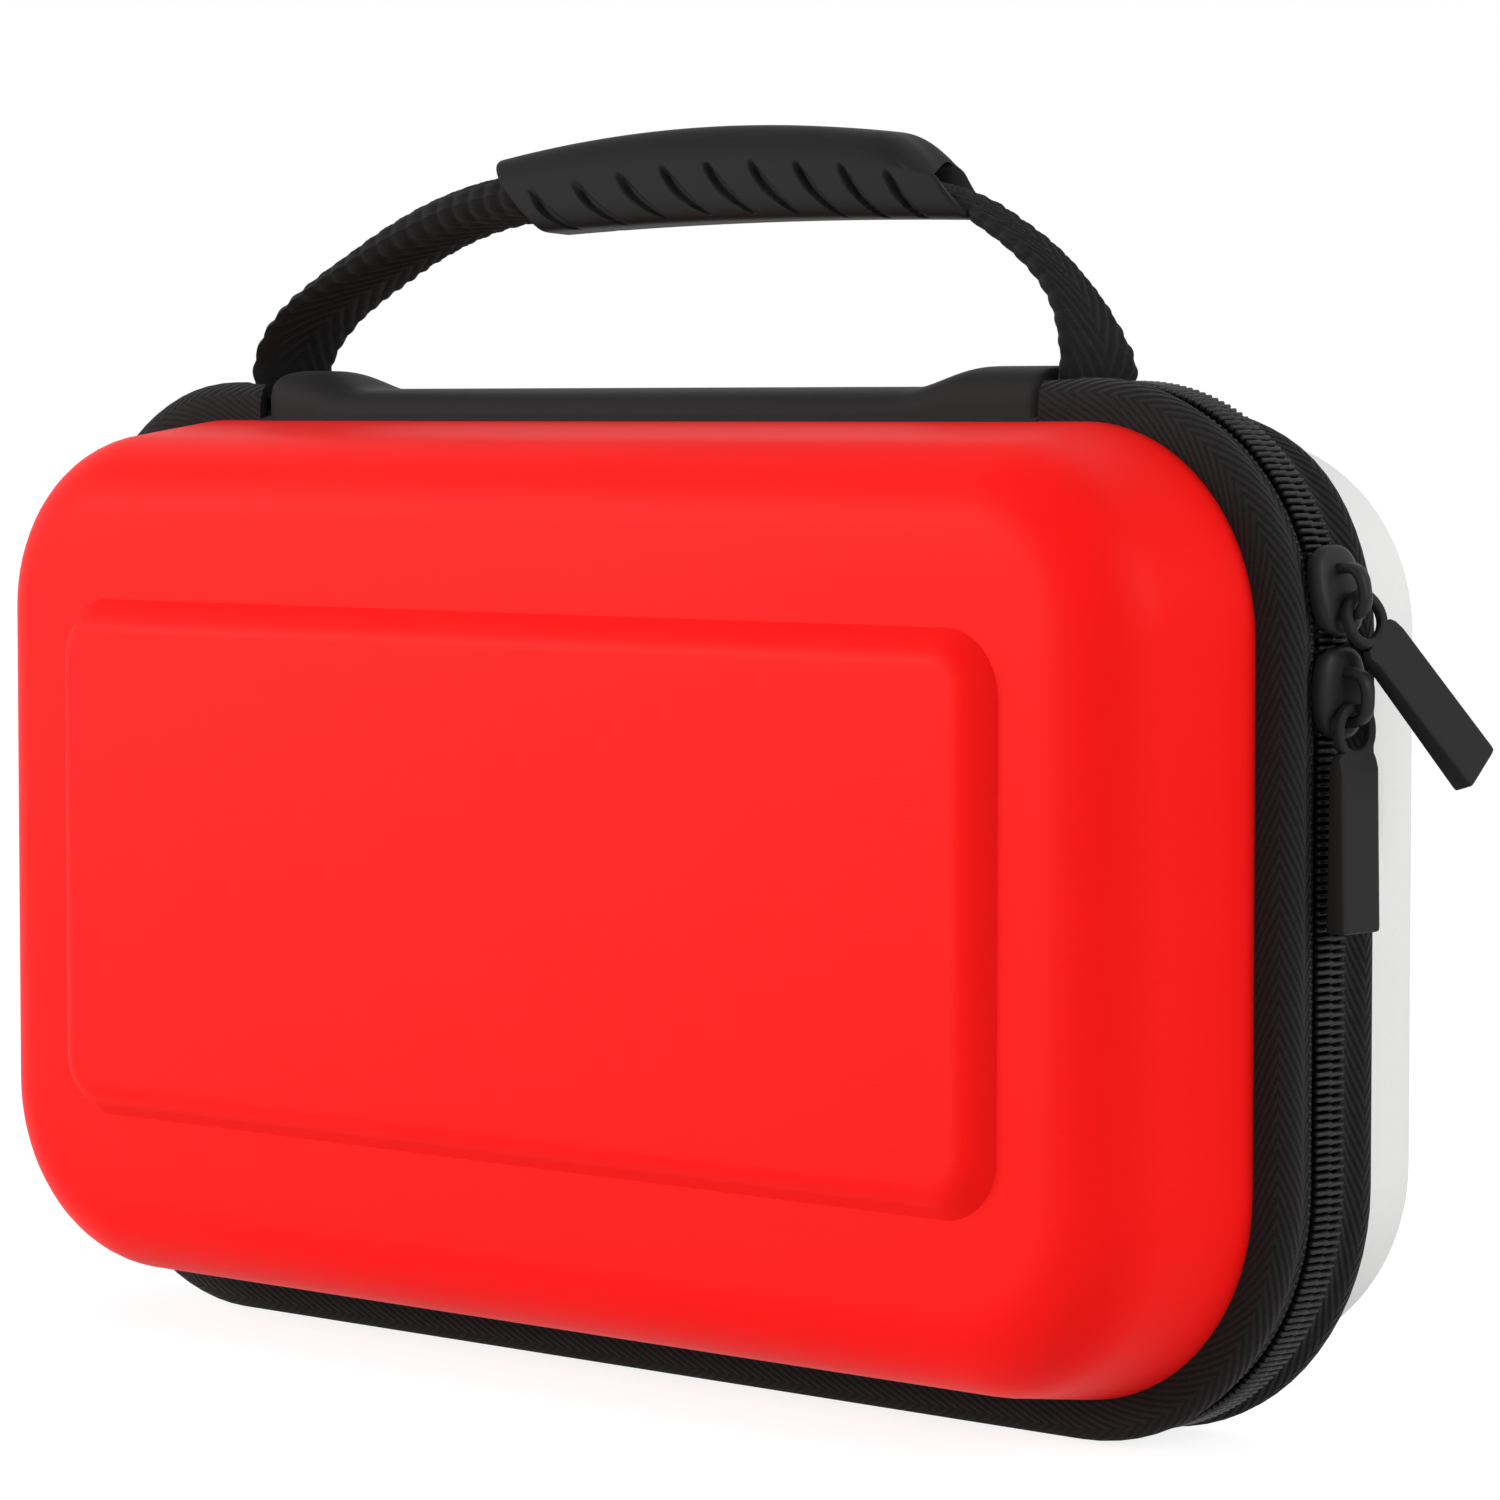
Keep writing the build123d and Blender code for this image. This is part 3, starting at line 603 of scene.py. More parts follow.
spine = skin("spine_pad_cover", rows, [spine_sheet], crease=60.0)
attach(spine, "case_back")
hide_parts("spine_pad")

# Hinge strips
# Two edges of the same sheet, sewn down along the rims of both shells. The front one is the hinge,
# which bends on the real case when the lid opens; here it is baked in place and follows neither shell.
strip_top = ((9.4, 0.8), (10.0, 0.6), (10.4, 0.42), (10.8, 0.3), (11.2, 0.2), (11.6, 0.06))
strip_under = ((11.6, -0.02), (11.2, 0.03), (10.8, 0.06), (10.4, 0.1), (10.0, 0.12), (9.4, 0.14))
strip_rows = 40
for label, side in (("front", -1), ("rear", 1)):
    rows = []
    for step in range(strip_rows + 1):
        x = (spine_half_length + 0.2) * (2 * step / strip_rows - 1)
        rows.append([(x, side * reach, hinge_height + rise) for reach, rise in strip_top + strip_under])
    strip = skin(f"{label}_hinge_strip", rows, [spine_sheet])
    if side < 0:
        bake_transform(strip)
    else:
        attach(strip, "case_back")

# Handle strap
# Coarse black webbing woven in a bold herringbone. Its feet fold in under the swollen ends of the
# spine; it is gathered together on its way up and runs through the grip.
strap_half_width = 9.0
strap_half_thickness = 1.45
strap_foot = spine_base + 3.6
strap_foot_end = 70.0
handle_lean = 5.0
lean_start = 1.0
lean_full = 12.0
strap_path = (
    (-79.0, 0.0),
    (-82.0, 0.0),
    (-86.0, 0.0),
    (-89.0, 1.0),
    (-90.4, 3.6),
    (-89.8, 7.6),
    (-85.2, 13.3),
    (-78.4, 17.9),
    (-70.6, 22.0),
    (-61.2, 26.5),
    (-49.1, 30.7),
    (-38.0, 32.8),
    (-15.0, 34.8),
    (9.0, 35.6),
    (33.0, 34.8),
    (52.0, 32.4),
    (61.3, 29.8),
    (67.8, 26.6),
    (75.4, 22.0),
    (80.4, 17.9),
    (84.4, 13.4),
    (87.0, 9.0),
    (88.4, 5.6),
    (88.6, 2.9),
    (87.6, 0.8),
    (85.4, 0.0),
    (82.0, 0.0),
    (79.0, 0.0),
)
strap_step = 0.4
strap_sides = 28
strap_rib = 2.2
strap_rib_slant = 0.6
strap_rib_height = 0.55
strap_edge_wave = 0.6
left_fold = 12.0, 32.0
left_folded_half_width = 6.4
left_folded_half_thickness = 4.0
right_fold = 2.0, 20.0
right_folded_half_width = 5.4
right_folded_half_thickness = 1.5
fold_change = -30.0, 50.0
flat_roundness = 6.0
folded_roundness = 2.4


def strap_line():
    """Even points (x, rise) along the strap, on one smooth curve through its path."""
    curve = bpy.data.curves.new("strap_line", "CURVE")
    curve.dimensions = "3D"
    curve.resolution_u = 48
    spline = curve.splines.new("BEZIER")
    spline.bezier_points.add(len(strap_path) - 1)
    for spot, (x, rise) in zip(spline.bezier_points, strap_path):
        spot.co = (x, 0, rise)
        spot.handle_left_type = spot.handle_right_type = "AUTO"
    carrier = bpy.data.objects.new("strap_line", curve)
    bpy.context.scene.collection.objects.link(carrier)
    mesh = bpy.data.meshes.new_from_object(carrier.evaluated_get(bpy.context.evaluated_depsgraph_get()))
    points = [(-strap_foot_end, 0.0)] + [(v.co.x, v.co.z) for v in mesh.vertices] + [(strap_foot_end, 0.0)]
    bpy.data.objects.remove(carrier)
    sums = lengths(points)
    even, spot = [], 0
    for step in range(int(sums[-1] / strap_step) + 1):
        while spot < len(sums) - 2 and sums[spot + 1] < step * strap_step:
            spot += 1
        share = (step * strap_step - sums[spot]) / max(sums[spot + 1] - sums[spot], 1e-9)
        even.append(tuple(points[spot][i] + (points[spot + 1][i] - points[spot][i]) * share for i in (0, 1)))
    return even


def handle_point(x, rise):
    """Point of the leaning handle above its foot line."""
    over = max(rise - lean_start, 0)
    lean = math.radians(handle_lean)
    return Vector((x, over * math.sin(lean), strap_foot + rise - over * (1 - math.cos(lean))))


def webbing_height(along, across):
    """Height of the weave: round ribs slanting out from the middle to both edges."""
    phase = (along * strap_rib_slant + abs(across) * math.sqrt(1 - strap_rib_slant**2)) / strap_rib
    return abs(math.sin(math.pi * phase))


webbing, tree, shader = finish_of("black_webbing", 0.9, Sheen_Weight=0.05, Specular_IOR_Level=0.06)
fibres = noise(tree, place_in_mm(tree), 3.2, 3.0)
dress(tree, shader, fibres, (0.006, 0.006, 0.006), (0.018, 0.018, 0.018), fibres, 0.6, 0.2)
line = strap_line()
rows = []
for spot, (x, rise) in enumerate(line):
    before, after = line[max(spot - 1, 0)], line[min(spot + 1, len(line) - 1)]
    lean = math.radians(handle_lean) * eased((rise - lean_start) / (lean_full - lean_start))
    way = Vector((after[0] - before[0], 0, after[1] - before[1])).normalized()
    across = Vector((0, math.cos(lean), -math.sin(lean)))
    along = Vector((way.x, way.z * math.sin(lean), way.z * math.cos(lean)))
    up = across.cross(along).normalized() * -1
    middle = handle_point(x, rise)
    row = []
    length = spot * strap_step
    wave = strap_edge_wave * (webbing_height(length, strap_half_width) - 0.5)
    left_share = eased((rise - left_fold[0]) / (left_fold[1] - left_fold[0]))
    right_share = eased((rise - right_fold[0]) / (right_fold[1] - right_fold[0]))
    change = eased((x - fold_change[0]) / (fold_change[1] - fold_change[0]))
    fold = left_share + (right_share - left_share) * change
    folded_width = left_folded_half_width + (right_folded_half_width - left_folded_half_width) * change
    folded_thickness = (
        left_folded_half_thickness + (right_folded_half_thickness - left_folded_half_thickness) * change
    )
    half_width = strap_half_width + (folded_width - strap_half_width) * fold
    half_thickness = strap_half_thickness + (folded_thickness - strap_half_thickness) * fold
    roundness = flat_roundness + (folded_roundness - flat_roundness) * fold * (1 - change)
    for face in (1, -1):
        for step in range(strap_sides + 1):
            share = face * (1 - 2 * step / strap_sides)
            rounded = math.sqrt(max(0.0, 1 - abs(share) ** roundness))
            ribs = webbing_height(length + (0 if face > 0 else strap_rib), share * strap_half_width)
            lift = face * rounded * (half_thickness - strap_rib_height + strap_rib_height * ribs)
            row.append(tuple(middle + across * share * (half_width + wave) + up * lift))
    rows.append(row)
strap = skin("handle_strap_webbing", rows, [webbing], crease=80.0)
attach(strap, "case_back")
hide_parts("handle_strap")

# Handle grip
# Soft rubber sleeve moulded round the strap: a smooth arched back, slanted finger grooves along
# both flanks, and open ends, cut on the same slant, that the strap comes out of.
grip_left = -25.5
grip_right = 66.5
grip_end_slope = 1.15
grip_end_ease = 0.28
grip_end_skew = 0.41
grip_half_depth = 7.6
grip_crest = 43.5
grip_crest_x = 10.0
grip_crest_fall = 0.00168
grip_sole = 28.0
grip_sole_fall = 0.9 / 46**2
grip_droop = 0.045
grip_droop_start = 44.0
grip_shoulder = 0.55
grip_mouth_share = 0.42
grip_rows = 280
grip_steps = 56
groove_count = 9
groove_pitch = 9.6
groove_depth = 1.3
groove_half_run = 5.4
groove_half_rise = 4.3
groove_mid = 33.2
groove_middle_x = 17.0
groove_arch_fall = 3.2 / 38.4**2
groove_half_width = 1.15
grip_middle = (grip_left + grip_right) / 2
grip_lean = math.radians(handle_lean)
grip_up = Vector((0, math.sin(grip_lean), math.cos(grip_lean)))
grip_back = Vector((0, 1, 0))
grip_origin = handle_point(0, lean_start) - lean_start * grip_up


def grip_low(x):
    """Rise of the sole."""
    return grip_sole - grip_sole_fall * (x - grip_middle) ** 2


def grip_tall(x):
    """Height of the sleeve from its sole to its arched back."""
    return grip_crest - grip_crest_fall * (x - grip_crest_x) ** 2 - grip_low(x)


def groove(x, rise):
    """Share of the groove's depth at a place on the flank: a curved slash that narrows to both ends."""
    t = (groove_mid - groove_arch_fall * (x - groove_middle_x) ** 2 - rise) / groove_half_rise
    if abs(t) >= 1:
        return 0.0
    bow = groove_half_run * (t + 0.25 * (t * t - 1))
    place = round((x - groove_middle_x - bow) / groove_pitch)
    if abs(place) > groove_count // 2:
        return 0.0
    half = groove_half_width * (1 - t * t) ** 0.6 + 1e-6
    off = abs(x - groove_middle_x - bow - groove_pitch * place) / half
    return eased((1.3 - off) / 0.8) * (1 - t**6)


def grip_row(along, shrink):
    """One slanted ring of the sleeve at a share of its length, up the front flank and down the rear one."""
    row = []
    for face in (-1, 1):
        for step in range(grip_steps + 1):
            angle = math.pi * (step / grip_steps if face < 0 else 1 - step / grip_steps)
            high = -math.cos(angle)
            power = 0.5 if high > 0 else 0.28
            share = (1 + math.copysign(abs(high) ** (0.85 if high > 0 else 0.55), high)) / 2
            depth = grip_half_depth * math.sin(angle) ** power
            x = grip_left + (grip_right - grip_left) * along
            x -= grip_end_slope * grip_tall(x) * (share - grip_end_ease * share**3)
            x -= grip_end_skew * (face * depth + grip_half_depth)
            droop = grip_droop * max(x - grip_droop_start, 0) ** 2 * eased((share - grip_shoulder) / (1 - grip_shoulder))
            rise = grip_low(x) + grip_tall(x) * share - droop
            depth -= groove_depth * groove(x, rise) * math.sin(angle) ** power
            middle = grip_low(x) + grip_tall(x) * grip_mouth_share
            rise = middle + (rise - middle) * shrink
            spot = grip_origin + Vector((x, 0, 0)) + grip_up * rise + grip_back * face * depth * shrink
            row.append(tuple(spot))
    return row


rubber, tree, shader = finish_of("black_grip_rubber", 0.55, Specular_IOR_Level=0.06)
grain = noise(tree, place_in_mm(tree), 3.5, 2.0)
dress(tree, shader, grain, (0.009, 0.009, 0.009), (0.016, 0.016, 0.016), grain, 0.2, 0.06)
ends = ((0.12, 0.5), (0.05, 0.55), (0.02, 0.64), (0.006, 0.8), (0.0, 0.93), (0.002, 0.985))
rows = [grip_row(along, shrink) for along, shrink in ends]
rows += [grip_row(step / grip_rows, 1.0) for step in range(2, grip_rows - 1)]
rows += [grip_row(1 - along, shrink) for along, shrink in reversed(ends)]
grip = skin("handle_grip_sleeve", rows, [rubber], crease=50.0)
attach(grip, "case_back")
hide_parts("handle_grip")

# Zip sliders
# Cast black sliders: a domed plate with rolled flanks over the chain, a plate behind it, a web
# between them and a bridge that carries the pull.
slider_half_length = 6.8
lower_slider_drop = 7.6
upper_slider_angle = 10.8


def seat(origin, out):
    """Frame of a slider: across the chain, along it and out of it."""
    across = Vector((0, 1, 0))
    along = Vector(out).cross(across)
    frame_of = Matrix((across, along, Vector(out))).transposed().to_4x4()
    return Matrix.Translation(origin) @ frame_of


def slider_outline(scale):
    """Points (across, along) of the plate: full at its belly, narrower at the nose and tail."""
    points = []
    for step in range(48):
        turn = 2 * math.pi * step / 48
        c, s = math.cos(turn), math.sin(turn)
        along = slider_half_length * math.copysign(abs(s) ** 0.62, s)
        narrow = (0.7 if s > 0 else 1.2) * (along / slider_half_length) ** 2
        across = (5.4 - narrow) * math.copysign(abs(c) ** 0.62, c)
        points.append((across * scale, along * scale))
    return points


def placed(frame_of, points):
    """Local points moved into the case's frame."""
    return [tuple(frame_of @ Vector(point)) for point in points]


def slider_parts(name, frame_of, size, material):
    """Plate, back plate, web and bridge of one slider, as one mesh."""
    plates = []
    profile = (
        (0.25, 0.78),
        (-0.55, 0.84),
        (-0.7, 0.92),
        (-0.45, 1.0),
        (0.9, 1.0),
        (1.4, 0.95),
        (1.75, 0.84),
        (1.95, 0.62),
        (2.05, 0.3),
    )
    rows = []
    for out, scale in profile:
        row = []
        for across, along in slider_outline(scale):
            flank = eased((abs(across) / scale - 3.3) / 1.0)
            row.append((across, along, out if out >= 0.25 else 0.25 + (out - 0.25) * flank))
        rows.append(row)
    plates.append(rows)
    back_plate = (-5.0, 0.9), (-4.8, 0.96), (-4.1, 0.96), (-3.9, 0.9)
    plates.append([[(a, t, out) for a, t in slider_outline(scale)] for out, scale in back_plate])
    web = (-0.45, 1.6), (0.45, 1.6), (0.45, 5.6), (-0.45, 5.6)
    plates.append([[(a, t, out) for a, t in web] for out in (-4.0, 0.4)])
    arch_rows = []
    for step in range(33):
        turn = math.pi * (1 - step / 32)
        c, s = math.cos(turn), math.sin(turn)
        t = -0.6 + 3.7 * math.copysign(abs(c) ** 0.7, c)
        out = 1.5 + 4.1 * abs(s) ** 0.7
        normal = Vector((c, s)).normalized()
        half = 1.15 + 0.25 * eased((t + 1.0) / 4.0)
        row = []
        for side in range(16):
            spin = 2 * math.pi * side / 16
            a = half * math.copysign(abs(math.cos(spin)) ** 0.8, math.cos(spin))
            n = 0.85 * math.copysign(abs(math.sin(spin)) ** 0.8, math.sin(spin))
            row.append((a, t + normal.x * n, out + normal.y * n))
        arch_rows.append(row)
    plates.append(arch_rows)
    pieces = []
    for part in plates:
        moved = [placed(frame_of, [[c * size for c in point] for point in row]) for row in part]
        pieces.append(skin(name, moved, [material], crease=35.0))
    return united(name, pieces)


def united(name, pieces):
    """One object from several closed meshes."""
    work = bmesh.new()
    for piece in pieces:
        work.from_mesh(piece.data)
    mesh = pieces[0].data.copy()
    work.to_mesh(mesh)
    work.free()
    for piece in pieces:
        bpy.data.objects.remove(piece)
    joined = bpy.data.objects.new(name, mesh)
    mesh.name = name
    bpy.context.scene.collection.objects.link(joined)
    return joined


slider_coat, tree, shader = finish_of("black_slider_coat", 0.45, Specular_IOR_Level=0.14)
pits = noise(tree, place_in_mm(tree), 1.2, 3.0)
dress(tree, shader, pits, (0.008, 0.008, 0.008), (0.02, 0.02, 0.02), pits, 0.15, 0.08)
lower_seat = seat((case_width / 2, 0, case_height - corner_radius - lower_slider_drop), (1, 0, 0))
arc_x = case_width / 2 - corner_radius
arc_z = case_height - corner_radius
upper_out = (math.cos(math.radians(upper_slider_angle)), 0, math.sin(math.radians(upper_slider_angle)))
upper_seat = seat((arc_x + corner_radius * upper_out[0], 0, arc_z + corner_radius * upper_out[2]), upper_out)
pocket_seat = Matrix(((0, 1, 0, 80.0), (0, 0, 1, -14.5), (1, 0, 0, 118.0), (0, 0, 0, 1)))
pocket_scale = 0.5
slider_seats = ("upper", upper_seat, 1.0), ("lower", lower_seat, 1.0), ("pocket", pocket_seat, pocket_scale)
for label, frame_of, size in slider_seats:
    node_name = f"{label}_zip_slider"
    slider = slider_parts(f"{node_name}_casting", frame_of, size, slider_coat)
    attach(slider, f"{label}_slider")
    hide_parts(node_name)

# Zip pulls
# Soft moulded pulls: a ring that hangs in the bridge, a step, and a flat blade that thickens
# like a wedge to its end.
pull_bar_along = -2.0
pull_bar_out = 3.2
upper_bar_across = -0.45
upper_pull_turn = 36.5
upper_pull_lift = 6.0


def pull_parts(name, frame_of, size, material):
    """Ring and blade of one pull, as one mesh."""
    ring_rows = []
    for step in range(48):
        turn = 2 * math.pi * step / 48
        c, s = math.cos(turn), math.sin(turn)
        x = 3.85 * math.copysign(abs(c) ** 0.9, c)
        y = -3.5 + 3.5 * math.copysign(abs(s) ** 0.9, s)
        out = Vector((c, s))
        row = []
        for side in range(12):
            spin = 2 * math.pi * side / 12
            w = 0.8 * math.copysign(abs(math.cos(spin)) ** 0.7, math.cos(spin))
            h = 0.78 * math.copysign(abs(math.sin(spin)) ** 0.7, math.sin(spin))
            row.append((x + out.x * w, y + out.y * w, h))
        ring_rows.append(row)
    blade_rows = []
    for y, wide, thick in (
        (-6.6, 3.0, 0.6),
        (-6.7, 3.9, 0.78),
        (-7.6, 4.5, 0.8),
        (-7.9, 4.55, 0.85),
        (-9.0, 4.5, 1.22),
        (-9.3, 4.5, 1.25),
        (-20.0, 4.5, 1.45),
        (-32.2, 4.5, 1.7),
        (-32.8, 4.4, 1.68),
        (-33.0, 4.1, 1.5),
    ):
        row = []
        for step in range(40):
            turn = 2 * math.pi * step / 40
            c, s = math.cos(turn), math.sin(turn)
            row.append((wide * math.copysign(abs(c) ** 0.16, c), y, thick * math.copysign(abs(s) ** 0.16, s)))
        blade_rows.append(row)
    pieces = []
    for part, closed in ((ring_rows, True), (blade_rows, False)):
        moved = [placed(frame_of, [[c * size for c in point] for point in row]) for row in part]
        pieces.append(skin(name, moved, [material], joined=closed, crease=28.0))
    return united(name, pieces)


pull_rubber, tree, shader = finish_of("black_pull_rubber", 0.5, Specular_IOR_Level=0.09)
grain = noise(tree, place_in_mm(tree), 4.0, 2.0)
dress(tree, shader, grain, (0.012, 0.012, 0.012), (0.020, 0.020, 0.020), grain, 0.15, 0.05)
lower_bar = lower_seat @ Matrix.Translation((0, pull_bar_along, pull_bar_out))
upper_bar = (
    upper_seat
    @ Matrix.Translation((upper_bar_across, pull_bar_along, pull_bar_out))
    @ Matrix.Rotation(math.radians(upper_pull_turn), 4, "Z")
    @ Matrix.Rotation(math.radians(-upper_pull_lift), 4, "X")
)
pocket_bar = pocket_seat @ Matrix.Translation((0, pull_bar_along * pocket_scale, pull_bar_out * pocket_scale))
pull_bars = ("upper", upper_bar, 1.0), ("lower", lower_bar, 1.0), ("pocket", pocket_bar, pocket_scale)
for label, frame_of, size in pull_bars:
    node_name = f"{label}_zip_pull"
    pull = pull_parts(f"{node_name}_moulding", frame_of, size, pull_rubber)
    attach(pull, f"{label}_pull")
    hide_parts(node_name)

# Console bed and strap
# Flocked foam insert glued into the back shell, with a channel for the console and thumb notches,
# and an elastic strap across it.


def softened(node_name, bevel, material):
    """Copy of a solid with its edges rounded over."""
    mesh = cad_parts[node_name].data.copy()
    mesh.materials.clear()
    mesh.materials.append(material)
    work = bmesh.new()
    work.from_mesh(mesh)
    bmesh.ops.remove_doubles(work, verts=work.verts, dist=0.01 * mm)
    bmesh.ops.dissolve_limit(work, angle_limit=math.radians(2), verts=work.verts, edges=work.edges)
    sharp = [edge for edge in work.edges if edge.is_manifold and edge.calc_face_angle() > math.radians(30)]
    bmesh.ops.bevel(
        work, geom=sharp, offset=bevel * mm, segments=2, affect="EDGES", profile=0.5, clamp_overlap=True
    )
    for face in work.faces:
        face.material_index = 0
    work.to_mesh(mesh)
    work.free()
    return settled(f"{node_name}_soft", mesh, 50.0)


flock = velour("grey_flock", (0.03, 0.03, 0.032), (0.06, 0.06, 0.064))
bed = softened("console_bed", 1.2, flock)
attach(bed, "case_back")
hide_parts("console_bed")
elastic_rib = grosgrain("black_elastic", (0.01, 0.01, 0.011), (0.03, 0.03, 0.032), 1.1)
bed_strap = softened("console_strap", 0.4, elastic_rib)
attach(bed_strap, "case_back")
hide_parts("console_strap")

# Divider flap
# Padded flap of lining cloth on a flat tongue that is sewn in under the spine, stitched through
# along its edge so that the padding stays in place.
flap_width = 220.0
flap_height = 112.0
flap_corner = 10.0
flap_seam_inset = 4.0
flap_front = 9.3
flap_stitch_pitch = 3.6


def seam_stitch(name, half_length):
    """One sewn stitch that lies on a face turned to the front."""
    rows = []
    for y, long, wide in ((-0.05, 0.75, 0.1), (0.0, 1.0, 0.3), (0.3, 1.0, 0.3), (0.35, 0.75, 0.1)):
        turns = [math.pi * side / 4 for side in range(8)]
        rows.append([(half_length * long * math.cos(t), y, wide * math.sin(t)) for t in turns])
    return skin(name, rows, [], crease=80.0)


flap = softened("divider_flap", 0.9, lining_velour)
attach(flap, "case_back")
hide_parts("divider_flap")
stitch = seam_stitch("flap_stitch", 1.3)
inset_twice = 2 * flap_seam_inset
seam_corner = flap_corner - flap_seam_inset
seam_line = outline(flap_width - inset_twice, flap_height - inset_twice, seam_corner, seam_corner)
seam = ring(seam_line + seam_line[:1], flap_front - 0.2)
flap_seam = in_a_row("divider_flap_seam", seam, stitch, flap_stitch_pitch, thread)
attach(flap_seam, "case_back")

# Card pockets
# Two rows of five small pockets for game cards, folded from thin cloth and sewn to the flap along
# their lower edges and between the pockets.
card_row_half_width = 95.0
card_front = 6.3
card_row_heights = (("upper", 106.0), ("lower", 54.0))
card_seam_drop = 13.4
card_stitch_pitch = 2.8
pocket_cloth = soft_sheet("black_pocket_cloth", (0.012, 0.012, 0.013), (0.03, 0.03, 0.032))
for label, middle in card_row_heights:
    pockets = softened(f"{label}_card_pockets", 0.25, pocket_cloth)
    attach(pockets, "case_back")
    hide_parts(f"{label}_card_pockets")
    foot = middle - card_seam_drop
    seam = [(x, card_front - 0.1, foot) for x in (-card_row_half_width + 1, card_row_half_width - 1)]
    pocket_seam = in_a_row(f"{label}_card_pocket_seam", seam, stitch, card_stitch_pitch, thread)
    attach(pocket_seam, "case_back")
bpy.data.objects.remove(stitch)

# Net pocket
# Knotted net stretched over the lid's cavity, its edge bound with a ribbon that is sewn to the
# lining, with a short zip let into its upper part.
net_low, net_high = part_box("net_pocket")
net_half_width = net_high[0] / mm
net_bottom = net_low[2] / mm
net_top = net_high[2] / mm
net_corner = 27.0
net_margin = 1.0
net_mesh = 4.2
net_strand = 0.24
net_layers = (-15.68, -15.92)
zip_height = 118.0
zip_half_length = 92.0
zip_half_width = 6.0


def in_net(x, z):
    """Whether a place lies on the net: within its outline and clear of the zip."""
    over_x = abs(x) - (net_half_width - net_corner)
    over_z = abs(z - (net_top + net_bottom) / 2) - ((net_top - net_bottom) / 2 - net_corner)
    within = math.hypot(max(over_x, 0), max(over_z, 0)) < net_corner - net_margin
    return within and (abs(x) > zip_half_length or abs(z - zip_height) > zip_half_width)


def strand_tree():
    """Turns every edge of a mesh into one round strand."""
    tree = bpy.data.node_groups.new("strands_on_edges", "GeometryNodeTree")
    for label, kind in (("Path", "Geometry"), ("Radius", "Float"), ("Finish", "Material")):
        tree.interface.new_socket(label, in_out="INPUT", socket_type=f"NodeSocket{kind}")
    tree.interface.new_socket("Strands", in_out="OUTPUT", socket_type="NodeSocketGeometry")
    given = add(tree, "NodeGroupInput").outputs
    curve = add(tree, "GeometryNodeMeshToCurve", {"Mesh": given["Path"]}).outputs[0]
    section = add(tree, "GeometryNodeCurvePrimitiveCircle", {"Resolution": 6, "Radius": given["Radius"]})
    sections = {"Curve": curve, "Profile Curve": section.outputs[0], "Fill Caps": True}
    round_strand = add(tree, "GeometryNodeCurveToMesh", sections)
    real = add(tree, "GeometryNodeRealizeInstances", {0: round_strand.outputs[0]})
    done = add(tree, "GeometryNodeSetMaterial", {"Geometry": real.outputs[0], "Material": given["Finish"]})
    add(tree, "NodeGroupOutput", {0: done.outputs[0]})
    return tree


points, edges = [], []
reach = net_half_width + net_top - net_bottom
for slant, layer in zip((1, -1), net_layers):
    for line in range(int(2 * reach / net_mesh)):
        foot = -reach + net_mesh * (line + 0.5)
        run = []
        for step in range(int((net_top - net_bottom) / 0.5) + 1):
            z = net_bottom + 0.5 * step
            x = foot + slant * (z - net_bottom)
            if in_net(x, z):
                run.append((x, layer, z))
            if run and (not in_net(x, z) or z >= net_top - 0.5):
                if len(run) > 4:
                    points += [run[0], run[-1]]
                    edges.append((len(points) - 2, len(points) - 1))
                run = []
net_cord = nylon("black_net_cord", (0.012, 0.012, 0.013), (0.028, 0.028, 0.03), 0.6)
strand_values = {"Radius": net_strand * mm, "Finish": net_cord}
net = grown("net_pocket_strands", strand_tree(), points, edges, strand_values)
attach(net, "lid")
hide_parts("net_pocket")
edge_ribbon = softened("net_binding", 0.25, binding_ribbon)
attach(edge_ribbon, "lid")
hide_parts("net_binding")
pocket_tape = softened("pocket_zip_tape", 0.15, tape_twill)
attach(pocket_tape, "lid")
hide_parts("pocket_zip_tape")
tooth_rows = []
tooth_sections = (-1.5, 0.15, 0.1), (-1.3, 0.34, 0.4), (0.0, 0.4, 0.45), (1.3, 0.34, 0.4), (1.5, 0.15, 0.1)
for z, long, high in tooth_sections:
    turns = [math.pi * side / 4 for side in range(8)]
    tooth_rows.append([(long * math.cos(t), high * math.sin(t), z) for t in turns])
pocket_tooth = skin("pocket_tooth", tooth_rows, [], crease=80.0)
teeth_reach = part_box("pocket_zip_tape")[1][1] / mm - 0.1
teeth_half_run = zip_half_length - 4
teeth_path = [(x, teeth_reach, zip_height) for x in (-teeth_half_run, teeth_half_run)]
pocket_teeth = in_a_row("pocket_zip_teeth", teeth_path, pocket_tooth, 1.1, chain_nylon)
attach(pocket_teeth, "lid")
bpy.data.objects.remove(pocket_tooth)

# Floor, light and camera
# Plain pale floor under an even white surround, one large soft lamp from the front left and a
# weaker one from the right.
floor_half = 6.0


def seen_by_eye(tree):
    """1 on rays from the camera, mirrors and glass, and 0 on rays that light the scene."""
    path = add(tree, "ShaderNodeLightPath").outputs
    mirrored = maths(tree, "MAXIMUM", path["Is Glossy Ray"], path["Is Transmission Ray"])
    return maths(tree, "MAXIMUM", path["Is Camera Ray"], mirrored)


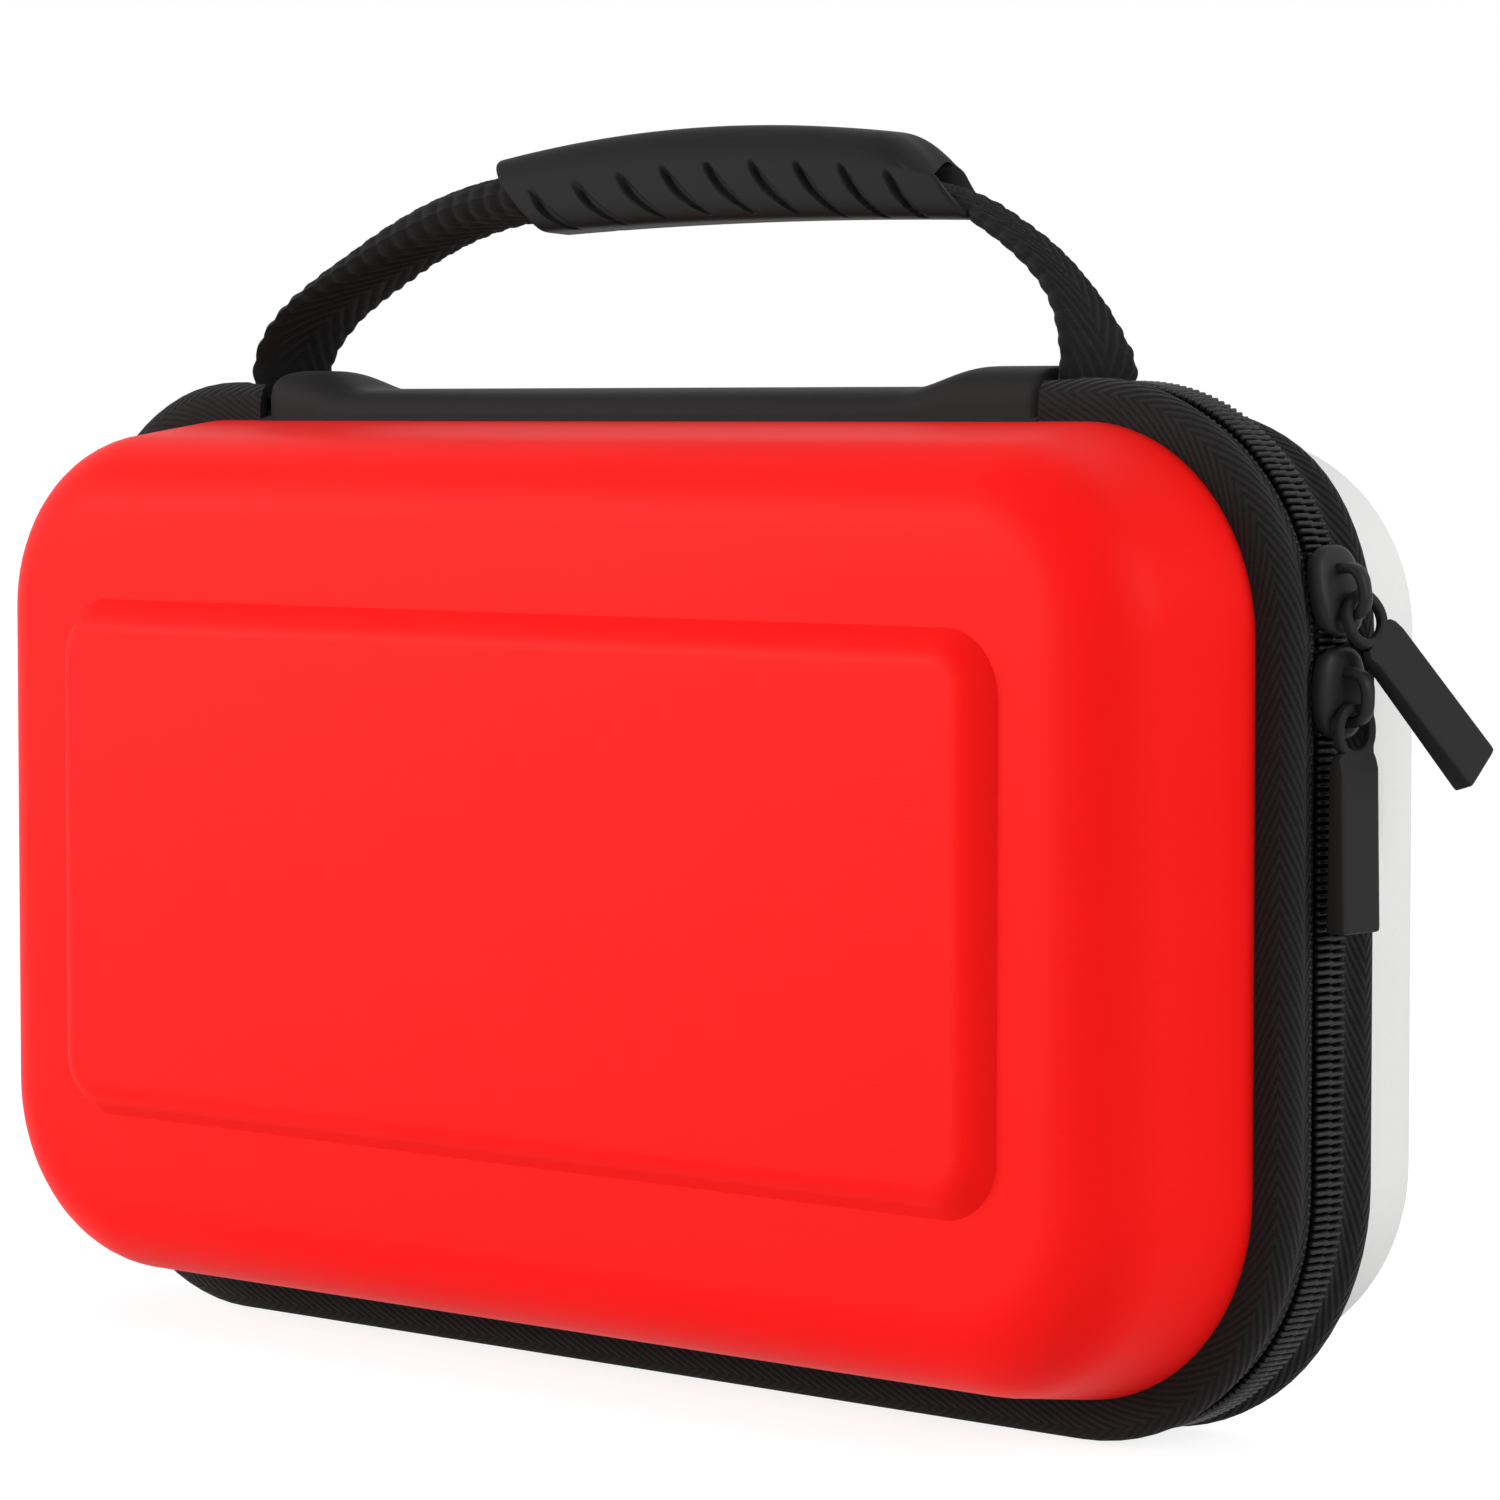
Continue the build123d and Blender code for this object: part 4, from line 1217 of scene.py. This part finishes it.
floor_mesh = bpy.data.meshes.new("floor")
floor_corners = [(x * floor_half, y * floor_half, 0) for x, y in ((-1, -1), (1, -1), (1, 1), (-1, 1))]
floor_mesh.from_pydata(floor_corners, [], [(0, 1, 2, 3)])
floor = bpy.data.objects.new("floor", floor_mesh)
bpy.context.scene.collection.objects.link(floor)
floor_paint = bpy.data.materials.new("pale_floor")
floor_paint.use_nodes = True
tree = floor_paint.node_tree
tree.nodes.clear()
matt = add(tree, "ShaderNodeBsdfDiffuse", {"Color": (0.35, 0.35, 0.35, 1)})
glow = add(tree, "ShaderNodeEmission", {"Color": (0.84, 0.84, 0.84, 1)})
pale = add(tree, "ShaderNodeAddShader", {0: matt.outputs[0], 1: glow.outputs[0]})
plain = add(tree, "ShaderNodeBsdfDiffuse", {"Color": (0.8, 0.8, 0.8, 1)})
seen = seen_by_eye(tree)
both = add(tree, "ShaderNodeMixShader", {0: seen, 1: plain.outputs[0], 2: pale.outputs[0]})
add(tree, "ShaderNodeOutputMaterial", {0: both.outputs[0]})
floor_mesh.materials.append(floor_paint)

world = bpy.data.worlds.new("surround")
bpy.context.scene.world = world
world.use_nodes = True
tree = world.node_tree
tree.nodes.clear()
seen = seen_by_eye(tree)
strength = maths(tree, "ADD", maths(tree, "MULTIPLY", seen, 0.5), 0.5)
sky = add(tree, "ShaderNodeBackground", {"Color": (1, 1, 1, 1), "Strength": strength})
add(tree, "ShaderNodeOutputWorld", {0: sky.outputs[0]})


def lamp(name, spot, target, size, power):
    """Square soft lamp aimed at a point."""
    light = bpy.data.lights.new(name, "AREA")
    light.size = size
    light.energy = power
    holder = bpy.data.objects.new(name, light)
    holder.location = spot
    holder.rotation_euler = (Vector(target) - Vector(spot)).to_track_quat("-Z", "Y").to_euler()
    bpy.context.scene.collection.objects.link(holder)


case_middle = (0, 0, 0.09)
lamp("front_left_lamp", (-1.05, -1.35, 0.5), case_middle, 0.9, 21.0)
lamp("right_lamp", (1.7, 0.2, 0.9), case_middle, 0.9, 16.0)

camera = bpy.data.objects.new("camera", bpy.data.cameras.new("camera"))
camera.data.lens = 135.76
camera.data.sensor_width = 36.0
camera.location = (0.6315, -0.6643, 0.1548)
camera.rotation_euler = (math.radians(86.585), 0, math.radians(42.76))
bpy.context.scene.collection.objects.link(camera)
bpy.context.scene.camera = camera
bpy.context.scene.view_settings.view_transform = "Standard"
